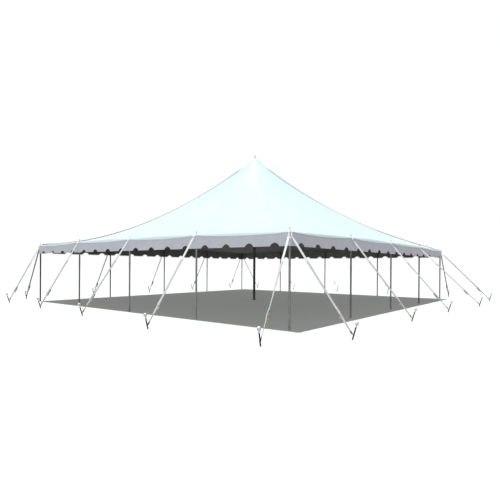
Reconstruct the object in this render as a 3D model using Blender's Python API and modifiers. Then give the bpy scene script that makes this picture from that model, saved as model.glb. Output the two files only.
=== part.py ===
# Square pole tent, 12.2 m on a side: a vinyl roof on one tall centre pole and
# sixteen side poles, held out by ratchet straps to steel stakes in the ground.
# Metres, +Z up. The origin is at ground level, under the centre pole.

import bmesh
import bpy
import math
import numpy as np
from mathutils import Matrix, Vector

# The plan: side poles stand every 10 ft round a square of 40 ft
HALF_SPAN = 6.096
BAY = 3.048
BAYS_PER_SIDE = 4
SIDES = 4

# The roof sheet, from its edge just outside the poles up to the peak. The poles along
# the sides hold it a little higher than the corner poles do.
SHEET_THICKNESS = 0.004
EDGE_OUT = 0.06
EAVE_HEIGHT = 2.24
INNER_POLE_RISE = 0.045
EAVE_ROLL_WIDTH = 0.12
EAVE_ROLL_DROP = 0.025
EAVE_SLACK = 0.045
CORNER_ARC_STEPS = 3
PEAK_HEIGHT = 6.07
CROWN_RADIUS = 0.10
ROOF_CURVE = 1.27
FULL_SIDE = 0.05
FULL_SIDE_ANGLE = math.radians(45)

# The valance that hangs from the edge, with a small arched notch four times in each bay
VALANCE_BOTTOM = 1.90
NOTCHES_PER_BAY = 4
NOTCH_WIDTH = 0.27
NOTCH_HEIGHT = 0.085
NOTCH_FULLNESS = 0.35

# Poles: aluminium tube with a steel pin through the sheet, and a thicker pin at the peak
SIDE_POLE_RADIUS = 0.0254
SIDE_FOOT_RADIUS = 0.034
SIDE_PIN_ABOVE_SHEET = 0.09
CENTRE_POLE_RADIUS = 0.0508
CENTRE_FOOT_RADIUS = 0.10
CENTRE_PIN_TOP = 6.25
PIN_RADIUS = 0.008
CENTRE_PIN_RADIUS = 0.0127
SEAT_BELOW_SHEET = 0.03
POLE_FACETS = 10

# Guys: webbing from the edge to a stake, tightened by a ratchet near the lower end. The
# ratchet lies on the underside of its webbing, with its handle towards the tent.
STRAP_WIDTH = 0.05
STRAP_THICKNESS = 0.003
STRAP_TOP_BELOW_EAVE = 0.07
CORNER_STRAP_TOP_BELOW_EAVE = 0.12
RATCHET_AT = 0.78
RATCHET_LENGTH = 0.18
RATCHET_WIDTH = 0.074
RATCHET_DEPTH = 0.034
RATCHET_BELOW = 0.004
HANDLE_LENGTH = 0.20
HANDLE_WIDTH = 0.064
HANDLE_DEPTH = 0.014
HANDLE_FORWARD = 0.05
HANDLE_TILT = math.radians(5)
GRIP_LENGTH = 0.03
GRIP_WIDTH = 0.092
GRIP_DEPTH = 0.024

# Stakes: steel rod, driven to lean away from the tent
STAKE_RADIUS = 0.0127
STAKE_HEIGHT = 0.33
STAKE_LEAN = math.radians(17)
STAKE_TIE_HEIGHT = 0.085
STAKE_FACETS = 8

# How far each guy reaches beyond its pole, and how far it swings along the side,
# counter-clockwise. Each side runs counter-clockwise, so front goes left to right.
GUY_REACH = {
    "front": ((1.10, 0.00), (1.30, 0.00), (1.50, 0.00), (1.85, 0.45), (1.83, 0.65)),
    "right": ((1.64, -0.18), (1.64, 0.28), (1.80, 0.30), (2.20, 0.05), (2.05, 0.00)),
    "back": ((1.55, 0.00), (1.40, 0.00), (1.40, 0.00), (1.40, 0.00), (1.58, 0.00)),
    "left": ((1.00, 0.00), (1.24, 0.00), (1.23, 0.00), (1.42, 0.00), (1.27, 0.00)),
}
# How far along the side a guy's top sits off its pole, where it isn't straight outside it
GUY_TOP_SHIFT = {
    "front_2": -0.04, "front_4": -0.04, "right_2": -0.04, "right_3": -0.12, "right_4": -0.12,
}
OUTWARD = {
    "front": Vector((0, -1, 0)),
    "right": Vector((1, 0, 0)),
    "back": Vector((0, 1, 0)),
    "left": Vector((-1, 0, 0)),
}

# Clearance that keeps touching pieces apart
GAP = 0.0003

EDGE = HALF_SPAN + EDGE_OUT
EDGE_STRAIGHT = HALF_SPAN
UP = Vector((0, 0, 1))


def clear_scene():
    for old in list(bpy.data.objects):
        bpy.data.objects.remove(old, do_unlink=True)


def new_collection(name):
    collection = bpy.data.collections.new(name)
    bpy.context.scene.collection.children.link(collection)
    return collection


def finish(name, color, roughness, metallic=0.0):
    material = bpy.data.materials.new(name)
    material.use_nodes = True
    shader = material.node_tree.nodes["Principled BSDF"]
    shader.inputs["Base Color"].default_value = (*color, 1.0)
    shader.inputs["Roughness"].default_value = roughness
    shader.inputs["Metallic"].default_value = metallic
    material.diffuse_color = (*color, 1.0)
    return material


def add_object(name, mesh, material, matrix=None):
    piece = bpy.data.objects.new(name, mesh)
    PARTS.objects.link(piece)
    mesh.materials.append(material)
    if matrix is not None:
        piece.matrix_world = matrix
    return piece


def mesh_from(bm, name):
    mesh = bpy.data.meshes.new(name)
    bm.to_mesh(mesh)
    bm.free()
    return mesh


def add_helper(name, mesh, matrix=None):
    helper = bpy.data.objects.new(name, mesh)
    HELPERS.objects.link(helper)
    helper.hide_render = True
    helper.display_type = "WIRE"
    if matrix is not None:
        helper.matrix_world = matrix
    return helper


def combine(piece, helper, operation):
    cut = piece.modifiers.new(operation.title(), "BOOLEAN")
    cut.operation = operation
    cut.object = helper
    cut.solver = "EXACT"


# The eave line: the sheet runs straight from pole head to pole head, and its edge rolls
# down outside that line, further between the poles than at them. The edge is straight
# between stations a quarter of a bay apart.
def eave_stations():
    spacing = BAY / NOTCHES_PER_BAY
    count = BAYS_PER_SIDE * NOTCHES_PER_BAY
    inner = [(i * spacing - HALF_SPAN) * EDGE / HALF_SPAN for i in range(1, count)]
    return np.array([-EDGE_STRAIGHT] + inner + [EDGE_STRAIGHT])


def eave_height(along):
    inner_pole = BAY * EDGE / HALF_SPAN
    corner_share = np.interp(abs(along), (inner_pole, EDGE_STRAIGHT), (0.0, 1.0))
    return EAVE_HEIGHT + INNER_POLE_RISE * (1.0 - float(corner_share))


def slack_at(along):
    bay_part = ((along * HALF_SPAN / EDGE + HALF_SPAN) / BAY) % 1.0
    return EAVE_SLACK * 4.0 * bay_part * (1.0 - bay_part)


def roll_drop(along):
    stations = eave_stations()
    slacks = [0.0] + [slack_at(s) for s in stations[1:-1]] + [0.0]
    return EAVE_ROLL_DROP + float(np.interp(along, stations, slacks))


# Height of the roof's upper face over any point of the plan. The cloth leaves the
# peak at one slope all round, runs nearly straight to the middle of each side and
# hollows towards the corners, where the way is longer. It rolls over at the edge.
def roof_height(x, y):
    out = max(abs(x), abs(y))
    share = min(out / EDGE, 1.0)
    along = (y if abs(x) >= abs(y) else x) * EDGE / out
    reach = math.hypot(x, y) / out
    side_bias = 1.0 - FULL_SIDE * math.cos(math.atan2(y, x) - FULL_SIDE_ANGLE)
    rise = (1.0 - share) ** (ROOF_CURVE * reach * side_bias)
    edge_height = eave_height(along)
    inset = EDGE - out
    roll = max(0.0, 1.0 - inset / EAVE_ROLL_WIDTH) ** 2
    return edge_height + (PEAK_HEIGHT - edge_height) * rise - roll_drop(along) * roll


def edge_outline():
    outline = []
    for side in range(SIDES):
        turn = Matrix.Rotation(side * math.pi / 2, 3, "Z")
        for along in eave_stations()[1:-1]:
            outline.append(turn @ Vector((along, -EDGE, 0)))
        for step in range(CORNER_ARC_STEPS + 1):
            angle = step * math.pi / 2 / CORNER_ARC_STEPS
            arc = Vector((math.sin(angle), -math.cos(angle), 0)) * EDGE_OUT
            outline.append(turn @ (Vector((HALF_SPAN, -HALF_SPAN, 0)) + arc))
    return outline


# The roof sheet: the edge outline is drawn in ring by ring to the crown, and each
# ring is lifted to the roof's height. A hole for each pin goes through it.
def make_canopy(material):
    ring_scales = (1.0, HALF_SPAN / EDGE, 0.975, 0.94, 0.86, 0.74, 0.60, 0.46, 0.32, 0.19, 0.09)
    bm = bmesh.new()
    corners = [bm.verts.new(point) for point in edge_outline()]
    edges = [bm.edges.new((corners[i - 1], corners[i])) for i in range(len(corners))]
    for vert in corners:
        vert.co.z = roof_height(vert.co.x, vert.co.y)
    for outer, inner in zip(ring_scales, ring_scales[1:]):
        ring = bmesh.ops.extrude_edge_only(bm, edges=edges)["geom"]
        edges = [item for item in ring if isinstance(item, bmesh.types.BMEdge)]
        verts = [item for item in ring if isinstance(item, bmesh.types.BMVert)]
        for vert in verts:
            vert.co.xy *= inner / outer
            vert.co.z = roof_height(vert.co.x, vert.co.y)
    crown = bmesh.ops.extrude_edge_only(bm, edges=edges)["geom"]
    edges = [item for item in crown if isinstance(item, bmesh.types.BMEdge)]
    for item in crown:
        if isinstance(item, bmesh.types.BMVert):
            flat = item.co.xy.normalized() * CROWN_RADIUS
            item.co = Vector((flat.x, flat.y, PEAK_HEIGHT))
    bmesh.ops.contextual_create(bm, geom=edges)
    under = bmesh.ops.extrude_face_region(bm, geom=bm.faces[:])["geom"]
    for item in under:
        if isinstance(item, bmesh.types.BMVert):
            item.co.z -= SHEET_THICKNESS
    bmesh.ops.recalc_face_normals(bm, faces=bm.faces[:])
    canopy = add_object("canopy", mesh_from(bm, "canopy"), material)
    combine(canopy, add_helper("pin_holes", pin_hole_mesh()), "DIFFERENCE")
    return canopy


def pin_hole_mesh():
    bm = bmesh.new()
    holes = [((spot.x, spot.y, EAVE_HEIGHT), PIN_RADIUS) for _, spot in side_pole_places()]
    holes.append(((0.0, 0.0, PEAK_HEIGHT), CENTRE_PIN_RADIUS))
    for place, pin_radius in holes:
        hole_radius = (pin_radius + GAP) / math.cos(math.pi / POLE_FACETS)
        bmesh.ops.create_cone(
            bm, cap_ends=True, segments=POLE_FACETS, depth=0.3,
            radius1=hole_radius, radius2=hole_radius, matrix=Matrix.Translation(place),
        )
    return mesh_from(bm, "pin_holes")


# The valance: one band round the edge. Its top follows the roof's edge and its
# lower edge has the arched notches.
def notch_rise(along):
    spacing = BAY / NOTCHES_PER_BAY
    offset = (along + HALF_SPAN) % spacing - spacing / 2
    if abs(offset) >= NOTCH_WIDTH / 2:
        return 0.0
    arch = 0.5 * (1.0 + math.cos(2.0 * math.pi * offset / NOTCH_WIDTH))
    return NOTCH_HEIGHT * arch ** NOTCH_FULLNESS


def valance_columns():
    columns = []
    spacing = BAY / NOTCHES_PER_BAY
    notch_steps = (-0.5, -0.44, -0.3, -0.12, 0.12, 0.3, 0.44, 0.5)
    for side in range(SIDES):
        turn = Matrix.Rotation(side * math.pi / 2, 3, "Z")
        stations = list(eave_stations()[1:-1])
        for notch in range(BAYS_PER_SIDE * NOTCHES_PER_BAY):
            centre = (notch + 0.5) * spacing - HALF_SPAN
            stations += [centre + step * NOTCH_WIDTH for step in notch_steps]
        for along in sorted(stations):
            top = eave_height(along) - roll_drop(along)
            bottom = VALANCE_BOTTOM + notch_rise(along)
            columns.append((turn @ Vector((along, -EDGE, 0)), top, bottom))
        for step in range(CORNER_ARC_STEPS + 1):
            angle = step * math.pi / 2 / CORNER_ARC_STEPS
            arc = Vector((math.sin(angle), -math.cos(angle), 0)) * EDGE_OUT
            corner = turn @ (Vector((HALF_SPAN, -HALF_SPAN, 0)) + arc)
            columns.append((corner, roof_height(corner.x, corner.y), VALANCE_BOTTOM))
    return columns


def make_valance(material):
    bm = bmesh.new()
    columns = valance_columns()
    top_verts = []
    for place, top, _ in columns:
        top_verts.append(bm.verts.new((place.x, place.y, top - SHEET_THICKNESS - GAP)))
    top_edges = [bm.edges.new((top_verts[i - 1], top_verts[i])) for i in range(len(top_verts))]
    bottoms = {(round(place.x, 4), round(place.y, 4)): bottom for place, _, bottom in columns}
    band = bmesh.ops.extrude_edge_only(bm, edges=top_edges)["geom"]
    for item in band:
        if isinstance(item, bmesh.types.BMVert):
            item.co.z = bottoms[(round(item.co.x, 4), round(item.co.y, 4))]
    bmesh.ops.recalc_face_normals(bm, faces=bm.faces[:])
    valance = add_object("valance", mesh_from(bm, "valance"), material)
    wall = valance.modifiers.new("Thickness", "SOLIDIFY")
    wall.thickness = SHEET_THICKNESS
    wall.offset = -1.0
    wall.use_even_offset = True
    return valance


# Turned pieces: a profile of (radius, height) from the top down, spun round Z
def turned(name, profile, facets, material, matrix):
    bm = bmesh.new()
    verts = [bm.verts.new((radius, 0.0, height)) for radius, height in profile]
    for upper, lower in zip(verts, verts[1:]):
        bm.edges.new((upper, lower))
    piece = add_object(name, mesh_from(bm, name), material, matrix)
    spin = piece.modifiers.new("Turn", "SCREW")
    spin.axis = "Z"
    spin.angle = 2.0 * math.pi
    spin.steps = facets
    spin.render_steps = facets
    spin.use_merge_vertices = True
    spin.merge_threshold = 0.0001
    spin.use_smooth_shade = True
    return piece


def side_pole_places():
    places = []
    for side, out in OUTWARD.items():
        along = UP.cross(out)
        for bay in range(BAYS_PER_SIDE):
            place = out * HALF_SPAN + along * (bay * BAY - HALF_SPAN)
            places.append((f"side_pole_{side}_{bay + 1}", place))
    return places


def make_side_poles(material):
    foot_height = 0.02
    for name, place in side_pole_places():
        at_corner = abs(place.x) == abs(place.y)
        sheet = EAVE_HEIGHT if at_corner else EAVE_HEIGHT + INNER_POLE_RISE
        seat = sheet - SHEET_THICKNESS - SEAT_BELOW_SHEET
        pin_top = sheet + SIDE_PIN_ABOVE_SHEET
        profile = (
            (0.0, pin_top), (PIN_RADIUS * 0.5, pin_top), (PIN_RADIUS, pin_top - 0.012),
            (PIN_RADIUS, seat), (SIDE_POLE_RADIUS, seat),
            (SIDE_POLE_RADIUS, foot_height), (SIDE_FOOT_RADIUS, foot_height),
            (SIDE_FOOT_RADIUS, 0.0), (0.0, 0.0),
        )
        turned(name, profile, POLE_FACETS, material, Matrix.Translation(place))


def make_centre_pole(material):
    foot_height = 0.012
    seat = PEAK_HEIGHT - SHEET_THICKNESS - GAP
    profile = (
        (0.0, CENTRE_PIN_TOP), (CENTRE_PIN_RADIUS * 0.5, CENTRE_PIN_TOP),
        (CENTRE_PIN_RADIUS, CENTRE_PIN_TOP - 0.015), (CENTRE_PIN_RADIUS, seat),
        (CENTRE_POLE_RADIUS, seat),
        (CENTRE_POLE_RADIUS, foot_height), (CENTRE_FOOT_RADIUS, foot_height),
        (CENTRE_FOOT_RADIUS, 0.0), (0.0, 0.0),
    )
    turned("centre_pole", profile, POLE_FACETS, material, Matrix.Identity(4))


# Where each guy starts on the edge, which way the edge faces there, half the length
# that is flat there, and where its stake stands. A corner guy starts on the first
# flat of the rounded corner.
def guy_lines():
    lines = []
    half_flat = math.pi / 4 / CORNER_ARC_STEPS
    for side, out in OUTWARD.items():
        along = UP.cross(out)
        for index, (reach, swing) in enumerate(GUY_REACH[side]):
            name = f"{side}_{index + 1}"
            place = index * BAY - HALF_SPAN
            foot = out * (HALF_SPAN + reach) + along * (place + swing)
            if abs(place) < HALF_SPAN:
                facing = out
                flat = BAY / 2
                top = out * EDGE + along * (place + GUY_TOP_SHIFT.get(name, 0.0))
                top.z = EAVE_HEIGHT + INNER_POLE_RISE - STRAP_TOP_BELOW_EAVE
            else:
                facing = Matrix.Rotation(math.copysign(half_flat, place), 3, "Z") @ out
                flat = EDGE_OUT * math.sin(half_flat)
                flat_out = EDGE_OUT * math.cos(half_flat)
                top = out * HALF_SPAN + along * place + facing * flat_out
                top.z = EAVE_HEIGHT - CORNER_STRAP_TOP_BELOW_EAVE
            lines.append((name, facing, flat, top, foot))
    return lines


def pull_direction(top, foot):
    level = foot - top
    level.z = 0.0
    return level.normalized()


# A stake leans the way that its guy pulls, and is cut off flush at the ground
def make_stakes(material):
    below = 0.05
    head = STAKE_HEIGHT / math.cos(STAKE_LEAN)
    profile = (
        (0.0, head), (0.018, head), (0.021, head - 0.006), (0.021, head - 0.03),
        (STAKE_RADIUS, head - 0.034), (STAKE_RADIUS, head - 0.062),
        (0.019, head - 0.066), (0.019, head - 0.080), (STAKE_RADIUS, head - 0.084),
        (STAKE_RADIUS, -below), (0.0, -below),
    )
    bm = bmesh.new()
    bmesh.ops.create_cube(bm, size=1.0, matrix=Matrix.Diagonal((0.3, 0.3, 0.2, 1.0)))
    soil_mesh = mesh_from(bm, "soil")
    for name, _, _, top, foot in guy_lines():
        pull = pull_direction(top, foot)
        heading = math.atan2(pull.y, pull.x)
        matrix = (
            Matrix.Translation(foot)
            @ Matrix.Rotation(heading, 4, "Z")
            @ Matrix.Rotation(STAKE_LEAN, 4, "Y")
        )
        stake = turned(f"stake_{name}", profile, STAKE_FACETS, material, matrix)
        soil = add_helper(f"soil_{name}", soil_mesh, Matrix.Translation(foot - UP * 0.1))
        combine(stake, soil, "DIFFERENCE")


# A guy: its own X axis runs down the webbing from the edge to the stake
def make_guys(material):
    for name, facing, flat, top, foot in guy_lines():
        pull = pull_direction(top, foot)
        lean = math.tan(STAKE_LEAN)
        tie = foot + pull * (STAKE_TIE_HEIGHT * lean) + UP * STAKE_TIE_HEIGHT
        fall = math.atan2(top.z - tie.z, (tie - top).xy.length)
        skew = abs(pull.cross(facing).z)
        touching = min(STRAP_WIDTH / 2, flat / pull.dot(facing))
        half_thick = STRAP_THICKNESS / 2
        top_gap = GAP + half_thick * math.sin(fall) + touching * skew
        start = top + facing * top_gap
        from_axis = STAKE_RADIUS + GAP + half_thick * math.sin(fall - STAKE_LEAN)
        end = tie - pull * (from_axis * math.cos(STAKE_LEAN)) + UP * (from_axis * math.sin(STAKE_LEAN))
        run = end - start
        across = UP.cross(run).normalized()
        normal = run.cross(across).normalized()
        axes = Matrix((run.normalized(), across, normal)).transposed().to_4x4()
        matrix = Matrix.Translation(start) @ axes
        strap = add_object(f"guy_{name}", box_mesh(
            "strap", (run.length, STRAP_WIDTH, STRAP_THICKNESS), (run.length / 2, 0, 0),
        ), material, matrix)
        ratchet_centre = run.length * RATCHET_AT
        frame = add_helper(f"ratchet_{name}", box_mesh(
            "ratchet", (RATCHET_LENGTH, RATCHET_WIDTH, RATCHET_DEPTH),
            (ratchet_centre, 0, -RATCHET_BELOW),
        ), matrix)
        under = Matrix.Translation((ratchet_centre, 0, -RATCHET_DEPTH / 2 - RATCHET_BELOW))
        hinge = matrix @ under @ Matrix.Rotation(HANDLE_TILT, 4, "Y")
        handle = add_helper(f"handle_{name}", box_mesh(
            "handle", (HANDLE_LENGTH, HANDLE_WIDTH, HANDLE_DEPTH), (HANDLE_FORWARD, 0, 0),
        ), hinge)
        grip = add_helper(f"grip_{name}", box_mesh(
            "grip", (GRIP_LENGTH, GRIP_WIDTH, GRIP_DEPTH),
            (HANDLE_FORWARD + HANDLE_LENGTH / 2 - GRIP_LENGTH / 2, 0, 0),
        ), hinge)
        for helper in (frame, handle, grip):
            combine(strap, helper, "UNION")


def box_mesh(name, size, centre):
    bm = bmesh.new()
    bmesh.ops.create_cube(
        bm, size=1.0, matrix=Matrix.Translation(centre) @ Matrix.Diagonal((*size, 1.0)),
    )
    return mesh_from(bm, name)


clear_scene()
PARTS = new_collection("marquee_tent")
HELPERS = new_collection("cutters")

vinyl = finish("white_vinyl", (0.88, 0.90, 0.91), 0.45)
valance_vinyl = finish("valance_vinyl", (0.80, 0.80, 0.83), 0.5)
aluminium = finish("mill_aluminium", (0.55, 0.56, 0.57), 0.35, 1.0)
dark_steel = finish("dark_painted_steel", (0.06, 0.06, 0.065), 0.4)
webbing = finish("white_webbing", (0.82, 0.83, 0.85), 0.8)
stake_steel = finish("forged_steel", (0.16, 0.15, 0.14), 0.55, 1.0)

make_canopy(vinyl)
make_valance(valance_vinyl)
make_side_poles(aluminium)
make_centre_pole(dark_steel)
make_guys(webbing)
make_stakes(stake_steel)
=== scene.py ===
import math

import bmesh
import bpy
from mathutils import Matrix, Vector, noise


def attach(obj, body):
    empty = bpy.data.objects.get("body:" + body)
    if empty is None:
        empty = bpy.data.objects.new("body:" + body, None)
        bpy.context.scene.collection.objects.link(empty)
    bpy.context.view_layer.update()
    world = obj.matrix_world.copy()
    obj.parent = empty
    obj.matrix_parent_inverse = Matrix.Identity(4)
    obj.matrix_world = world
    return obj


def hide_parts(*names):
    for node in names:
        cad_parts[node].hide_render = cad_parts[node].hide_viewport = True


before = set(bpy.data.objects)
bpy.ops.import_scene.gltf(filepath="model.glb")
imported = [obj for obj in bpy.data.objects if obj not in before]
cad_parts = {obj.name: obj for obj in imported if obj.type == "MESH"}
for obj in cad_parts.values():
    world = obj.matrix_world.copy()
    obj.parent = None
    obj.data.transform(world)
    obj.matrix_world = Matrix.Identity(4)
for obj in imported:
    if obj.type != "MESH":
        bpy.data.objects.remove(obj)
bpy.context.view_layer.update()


# The camera. It stands 1.4 m above the ground outside the near corner and looks level
# across the tent; its small shift is the off-centre framing of the photograph.
picture_side_px = 500
focal_length_px = 409.148
principal_point_px = (276.09, 267.06)
sensor_mm = 36.0
camera_place = Vector((11.331, -13.631, 1.421))
camera_heading = math.radians(-36.6855)
camera_roll = math.radians(0.3823)
camera_reach = 600.0

ahead = Vector((math.sin(camera_heading), math.cos(camera_heading), 0.0))
level_right = Vector((math.cos(camera_heading), -math.sin(camera_heading), 0.0))
straight_up = Vector((0.0, 0.0, 1.0))
camera_right = level_right * math.cos(camera_roll) + straight_up * math.sin(camera_roll)
camera_up = straight_up * math.cos(camera_roll) - level_right * math.sin(camera_roll)
camera_data = bpy.data.cameras.new("corner_camera")
camera_data.sensor_width = sensor_mm
camera_data.lens = focal_length_px / picture_side_px * sensor_mm
camera_data.shift_x = (picture_side_px / 2 - principal_point_px[0]) / picture_side_px
camera_data.shift_y = (principal_point_px[1] - picture_side_px / 2) / picture_side_px
camera_data.clip_end = camera_reach
camera = bpy.data.objects.new("corner_camera", camera_data)
camera_turn = Matrix((camera_right, camera_up, -ahead)).transposed().to_4x4()
camera.matrix_world = Matrix.Translation(camera_place) @ camera_turn
bpy.context.scene.collection.objects.link(camera)
bpy.context.scene.camera = camera
bpy.context.scene.view_settings.view_transform = "Standard"


# The daylight: a soft sun almost overhead, a faint even sky, a stronger glow from below and
# a weak fill from the front corner, so the roof's shade falls straight down under it. The
# ground is plain and pale, and isn't part of the tent.
ground_radius = 300.0
shade_drift = Vector((0.13, -0.03, -1.0))
sun_strength = 4.45
sun_angle = math.radians(2.0)
fill_way = Vector((-0.30, 0.90, -0.45))
fill_strength = 0.60
sky_light = 0.15
sky_seen = 1.005
ground_glow = 0.75
horizon_blend = 0.05


def start_finish(name, color=(0.8, 0.8, 0.8), values=None):
    finish = bpy.data.materials.new(name)
    finish.use_nodes = True
    shader = finish.node_tree.nodes["Principled BSDF"]
    shader.inputs["Base Color"].default_value = (*color, 1.0)
    for socket, value in (values or {}).items():
        shader.inputs[socket].default_value = value
    finish.diffuse_color = (*color, 1.0)
    return finish


def paint_step(finish, kind, inputs=None, **settings):
    """A node of a finish; inputs are values, or outputs of other nodes."""
    step = finish.node_tree.nodes.new(kind)
    for name, value in settings.items():
        setattr(step, name, value)
    for name, value in (inputs or {}).items():
        if isinstance(value, bpy.types.NodeSocket):
            finish.node_tree.links.new(value, step.inputs[name])
        else:
            step.inputs[name].default_value = value
    return step


def surface_point(finish, stretch=(1.0, 1.0, 1.0), uv=False):
    coordinates = paint_step(finish, "ShaderNodeTexCoord")
    scaled = paint_step(finish, "ShaderNodeMapping", {
        "Vector": coordinates.outputs["UV" if uv else "Object"], "Scale": stretch,
    })
    return scaled.outputs["Vector"]


def mottle(finish, scale, detail=3.0, stretch=(1.0, 1.0, 1.0), uv=False):
    cloud = paint_step(finish, "ShaderNodeTexNoise", {
        "Vector": surface_point(finish, stretch, uv), "Scale": scale, "Detail": detail,
    })
    return cloud.outputs["Fac"]


def between(finish, value, low, high, to_low=0.0, to_high=1.0):
    spread = paint_step(finish, "ShaderNodeMapRange", {
        "Value": value, "From Min": low, "From Max": high, "To Min": to_low, "To Max": to_high,
    })
    return spread.outputs["Result"]


def split_up(finish, place):
    """The X, Y and Z of a place, as three outputs."""
    return paint_step(finish, "ShaderNodeSeparateXYZ", {"Vector": place}).outputs


def tinted(finish, share, first, second, blend="MIX"):
    mix = paint_step(finish, "ShaderNodeMix", {0: share}, data_type="RGBA", blend_type=blend)
    for socket, color in ((6, first), (7, second)):
        if isinstance(color, bpy.types.NodeSocket):
            finish.node_tree.links.new(color, mix.inputs[socket])
        else:
            mix.inputs[socket].default_value = (*color, 1.0)
    return mix.outputs[2]


def coat(finish, color=None, roughness=None, normal=None):
    shader = finish.node_tree.nodes["Principled BSDF"]
    for socket, value in (("Base Color", color), ("Roughness", roughness), ("Normal", normal)):
        if value is not None:
            finish.node_tree.links.new(value, shader.inputs[socket])
    return finish


ground_finish = start_finish("pale_ground", values={
    "Roughness": 0.95, "Specular IOR Level": 0.1,
    "Emission Color": (0.124, 0.136, 0.120, 1.0), "Emission Strength": 1.0,
})
coat(ground_finish, tinted(
    ground_finish, between(ground_finish, mottle(ground_finish, 1.5, 4.0), 0.3, 0.7),
    (0.60, 0.60, 0.60), (0.62, 0.62, 0.62),
))
ground_bm = bmesh.new()
bmesh.ops.create_circle(ground_bm, cap_ends=True, segments=96, radius=ground_radius)
ground_mesh = bpy.data.meshes.new("ground")
ground_bm.to_mesh(ground_mesh)
ground_bm.free()
ground_mesh.materials.append(ground_finish)
ground = bpy.data.objects.new("ground", ground_mesh)
bpy.context.scene.collection.objects.link(ground)
ground.visible_diffuse = False
ground.visible_glossy = False

sky = bpy.data.worlds.new("white_sky")
sky.use_nodes = True
bpy.context.scene.world = sky
sky_background = sky.node_tree.nodes["Background"]
sky_background.inputs["Color"].default_value = (1.0, 1.0, 1.0, 1.0)
sky_way = split_up(sky, paint_step(sky, "ShaderNodeTexCoord").outputs["Generated"])
light_given = between(sky, sky_way["Z"], -horizon_blend, horizon_blend, ground_glow, sky_light)
camera_looks = paint_step(sky, "ShaderNodeLightPath").outputs["Is Camera Ray"]
sky_strength = between(sky, camera_looks, 0.0, 1.0, light_given, sky_seen)
sky.node_tree.links.new(sky_strength, sky_background.inputs["Strength"])
for light_name, way, strength, tint, casts_shade in (
    ("high_sun", shade_drift, sun_strength, (0.93, 1.0, 1.0), True),
    ("front_fill", fill_way, fill_strength, (1.0, 1.0, 1.0), False),
):
    light_data = bpy.data.lights.new(light_name, "SUN")
    light_data.energy = strength
    light_data.angle = sun_angle
    light_data.color = tint
    light_data.use_shadow = casts_shade
    light = bpy.data.objects.new(light_name, light_data)
    light.matrix_world = way.to_track_quat("-Z", "Y").to_matrix().to_4x4()
    bpy.context.scene.collection.objects.link(light)


# The centre pole: one steel tube, 100 mm thick and 6.07 m long, painted dark. It stands
# loose on a welded foot plate, and the thick pin in its cap comes out through the crown.
centre_radius = 0.0508
centre_top = 6.0665
centre_foot_radius = 0.10
centre_pin_radius = 0.0127
centre_pin_top = 6.25
sharp_over = math.radians(35.0)


def reckon(finish, operation, first, second=0.0):
    return paint_step(finish, "ShaderNodeMath", {0: first, 1: second}, operation=operation).outputs["Value"]


def raised(finish, height, depth, under=None):
    inputs = {"Height": height, "Distance": depth}
    if under is not None:
        inputs["Normal"] = under
    return paint_step(finish, "ShaderNodeBump", inputs).outputs["Normal"]


def dusted(finish, clean, dust_color, reach):
    """Mixes dust or mud into a colour up to a height of reach above the ground, in patches."""
    height = split_up(finish, surface_point(finish))["Z"]
    level = between(finish, height, 0.0, reach, 1.0, 0.0)
    patches = between(finish, mottle(finish, 14.0, 5.0), 0.38, 0.62)
    return tinted(finish, reckon(finish, "MULTIPLY", level, patches), clean, dust_color)


def worn_finish(name, clean, worn, patches, rough=None, bumps=None, values=None,
                stretch=(1.0, 1.0, 1.0), soil_and_shade=None):
    """A finish worn in patches of (scale, detail, from, to). Rough is (scale, detail, smooth,
    coarse), or (smooth, coarse) where it follows the patches; bumps is (scale, detail,
    depth); soil_and_shade takes the finish and its colour, and gives the colour with dirt on it;
    on the roof and its seams it gives painted shade."""
    finish = start_finish(name, clean, values)
    share = between(finish, mottle(finish, *patches[:2], stretch), *patches[2:])
    color = tinted(finish, share, clean, worn)
    coat(finish, soil_and_shade(finish, color) if soil_and_shade else color)
    if rough:
        cloud = between(finish, mottle(finish, *rough[:2]), 0.3, 0.7) if len(rough) > 2 else share
        coat(finish, roughness=between(finish, cloud, 0.0, 1.0, *rough[-2:]))
    if bumps:
        coat(finish, normal=raised(finish, mottle(finish, *bumps[:2]), bumps[2]))
    return finish


def add_part(bm, part, place=Matrix.Identity(4), finish_number=0):
    part.transform(place)
    for face in part.faces:
        face.material_index = finish_number
    moved = bpy.data.meshes.new("part")
    part.to_mesh(moved)
    part.free()
    bm.from_mesh(moved)
    bpy.data.meshes.remove(moved)


def add_turned(bm, profile, steps, place=Matrix.Identity(4), finish_number=0):
    """Turns a profile of (radius, height), listed from the top down, round its own Z axis."""
    part = bmesh.new()
    line = [part.verts.new((radius, 0.0, height)) for radius, height in profile]
    edges = [part.edges.new(pair) for pair in zip(line, line[1:])]
    bmesh.ops.spin(
        part, geom=line + edges, cent=(0, 0, 0), axis=(0, 0, 1), angle=2 * math.pi,
        steps=steps, use_merge=True,
    )
    bmesh.ops.remove_doubles(part, verts=part.verts[:], dist=1e-6)
    bmesh.ops.recalc_face_normals(part, faces=part.faces[:])
    add_part(bm, part, place, finish_number)


def put_up(name, bm, finishes, nodes=()):
    """Makes a piece of the tent from bm, smooth except at sharp edges, riding on the frame."""
    for face in bm.faces:
        face.smooth = True
    for edge in bm.edges:
        edge.smooth = edge.calc_face_angle(0.0) < sharp_over
    mesh = bpy.data.meshes.new(name)
    bm.to_mesh(mesh)
    bm.free()
    for finish in finishes:
        mesh.materials.append(finish)
    piece = bpy.data.objects.new(name, mesh)
    bpy.context.scene.collection.objects.link(piece)
    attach(piece, "root")
    if nodes:
        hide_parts(*nodes)
    return piece


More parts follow.
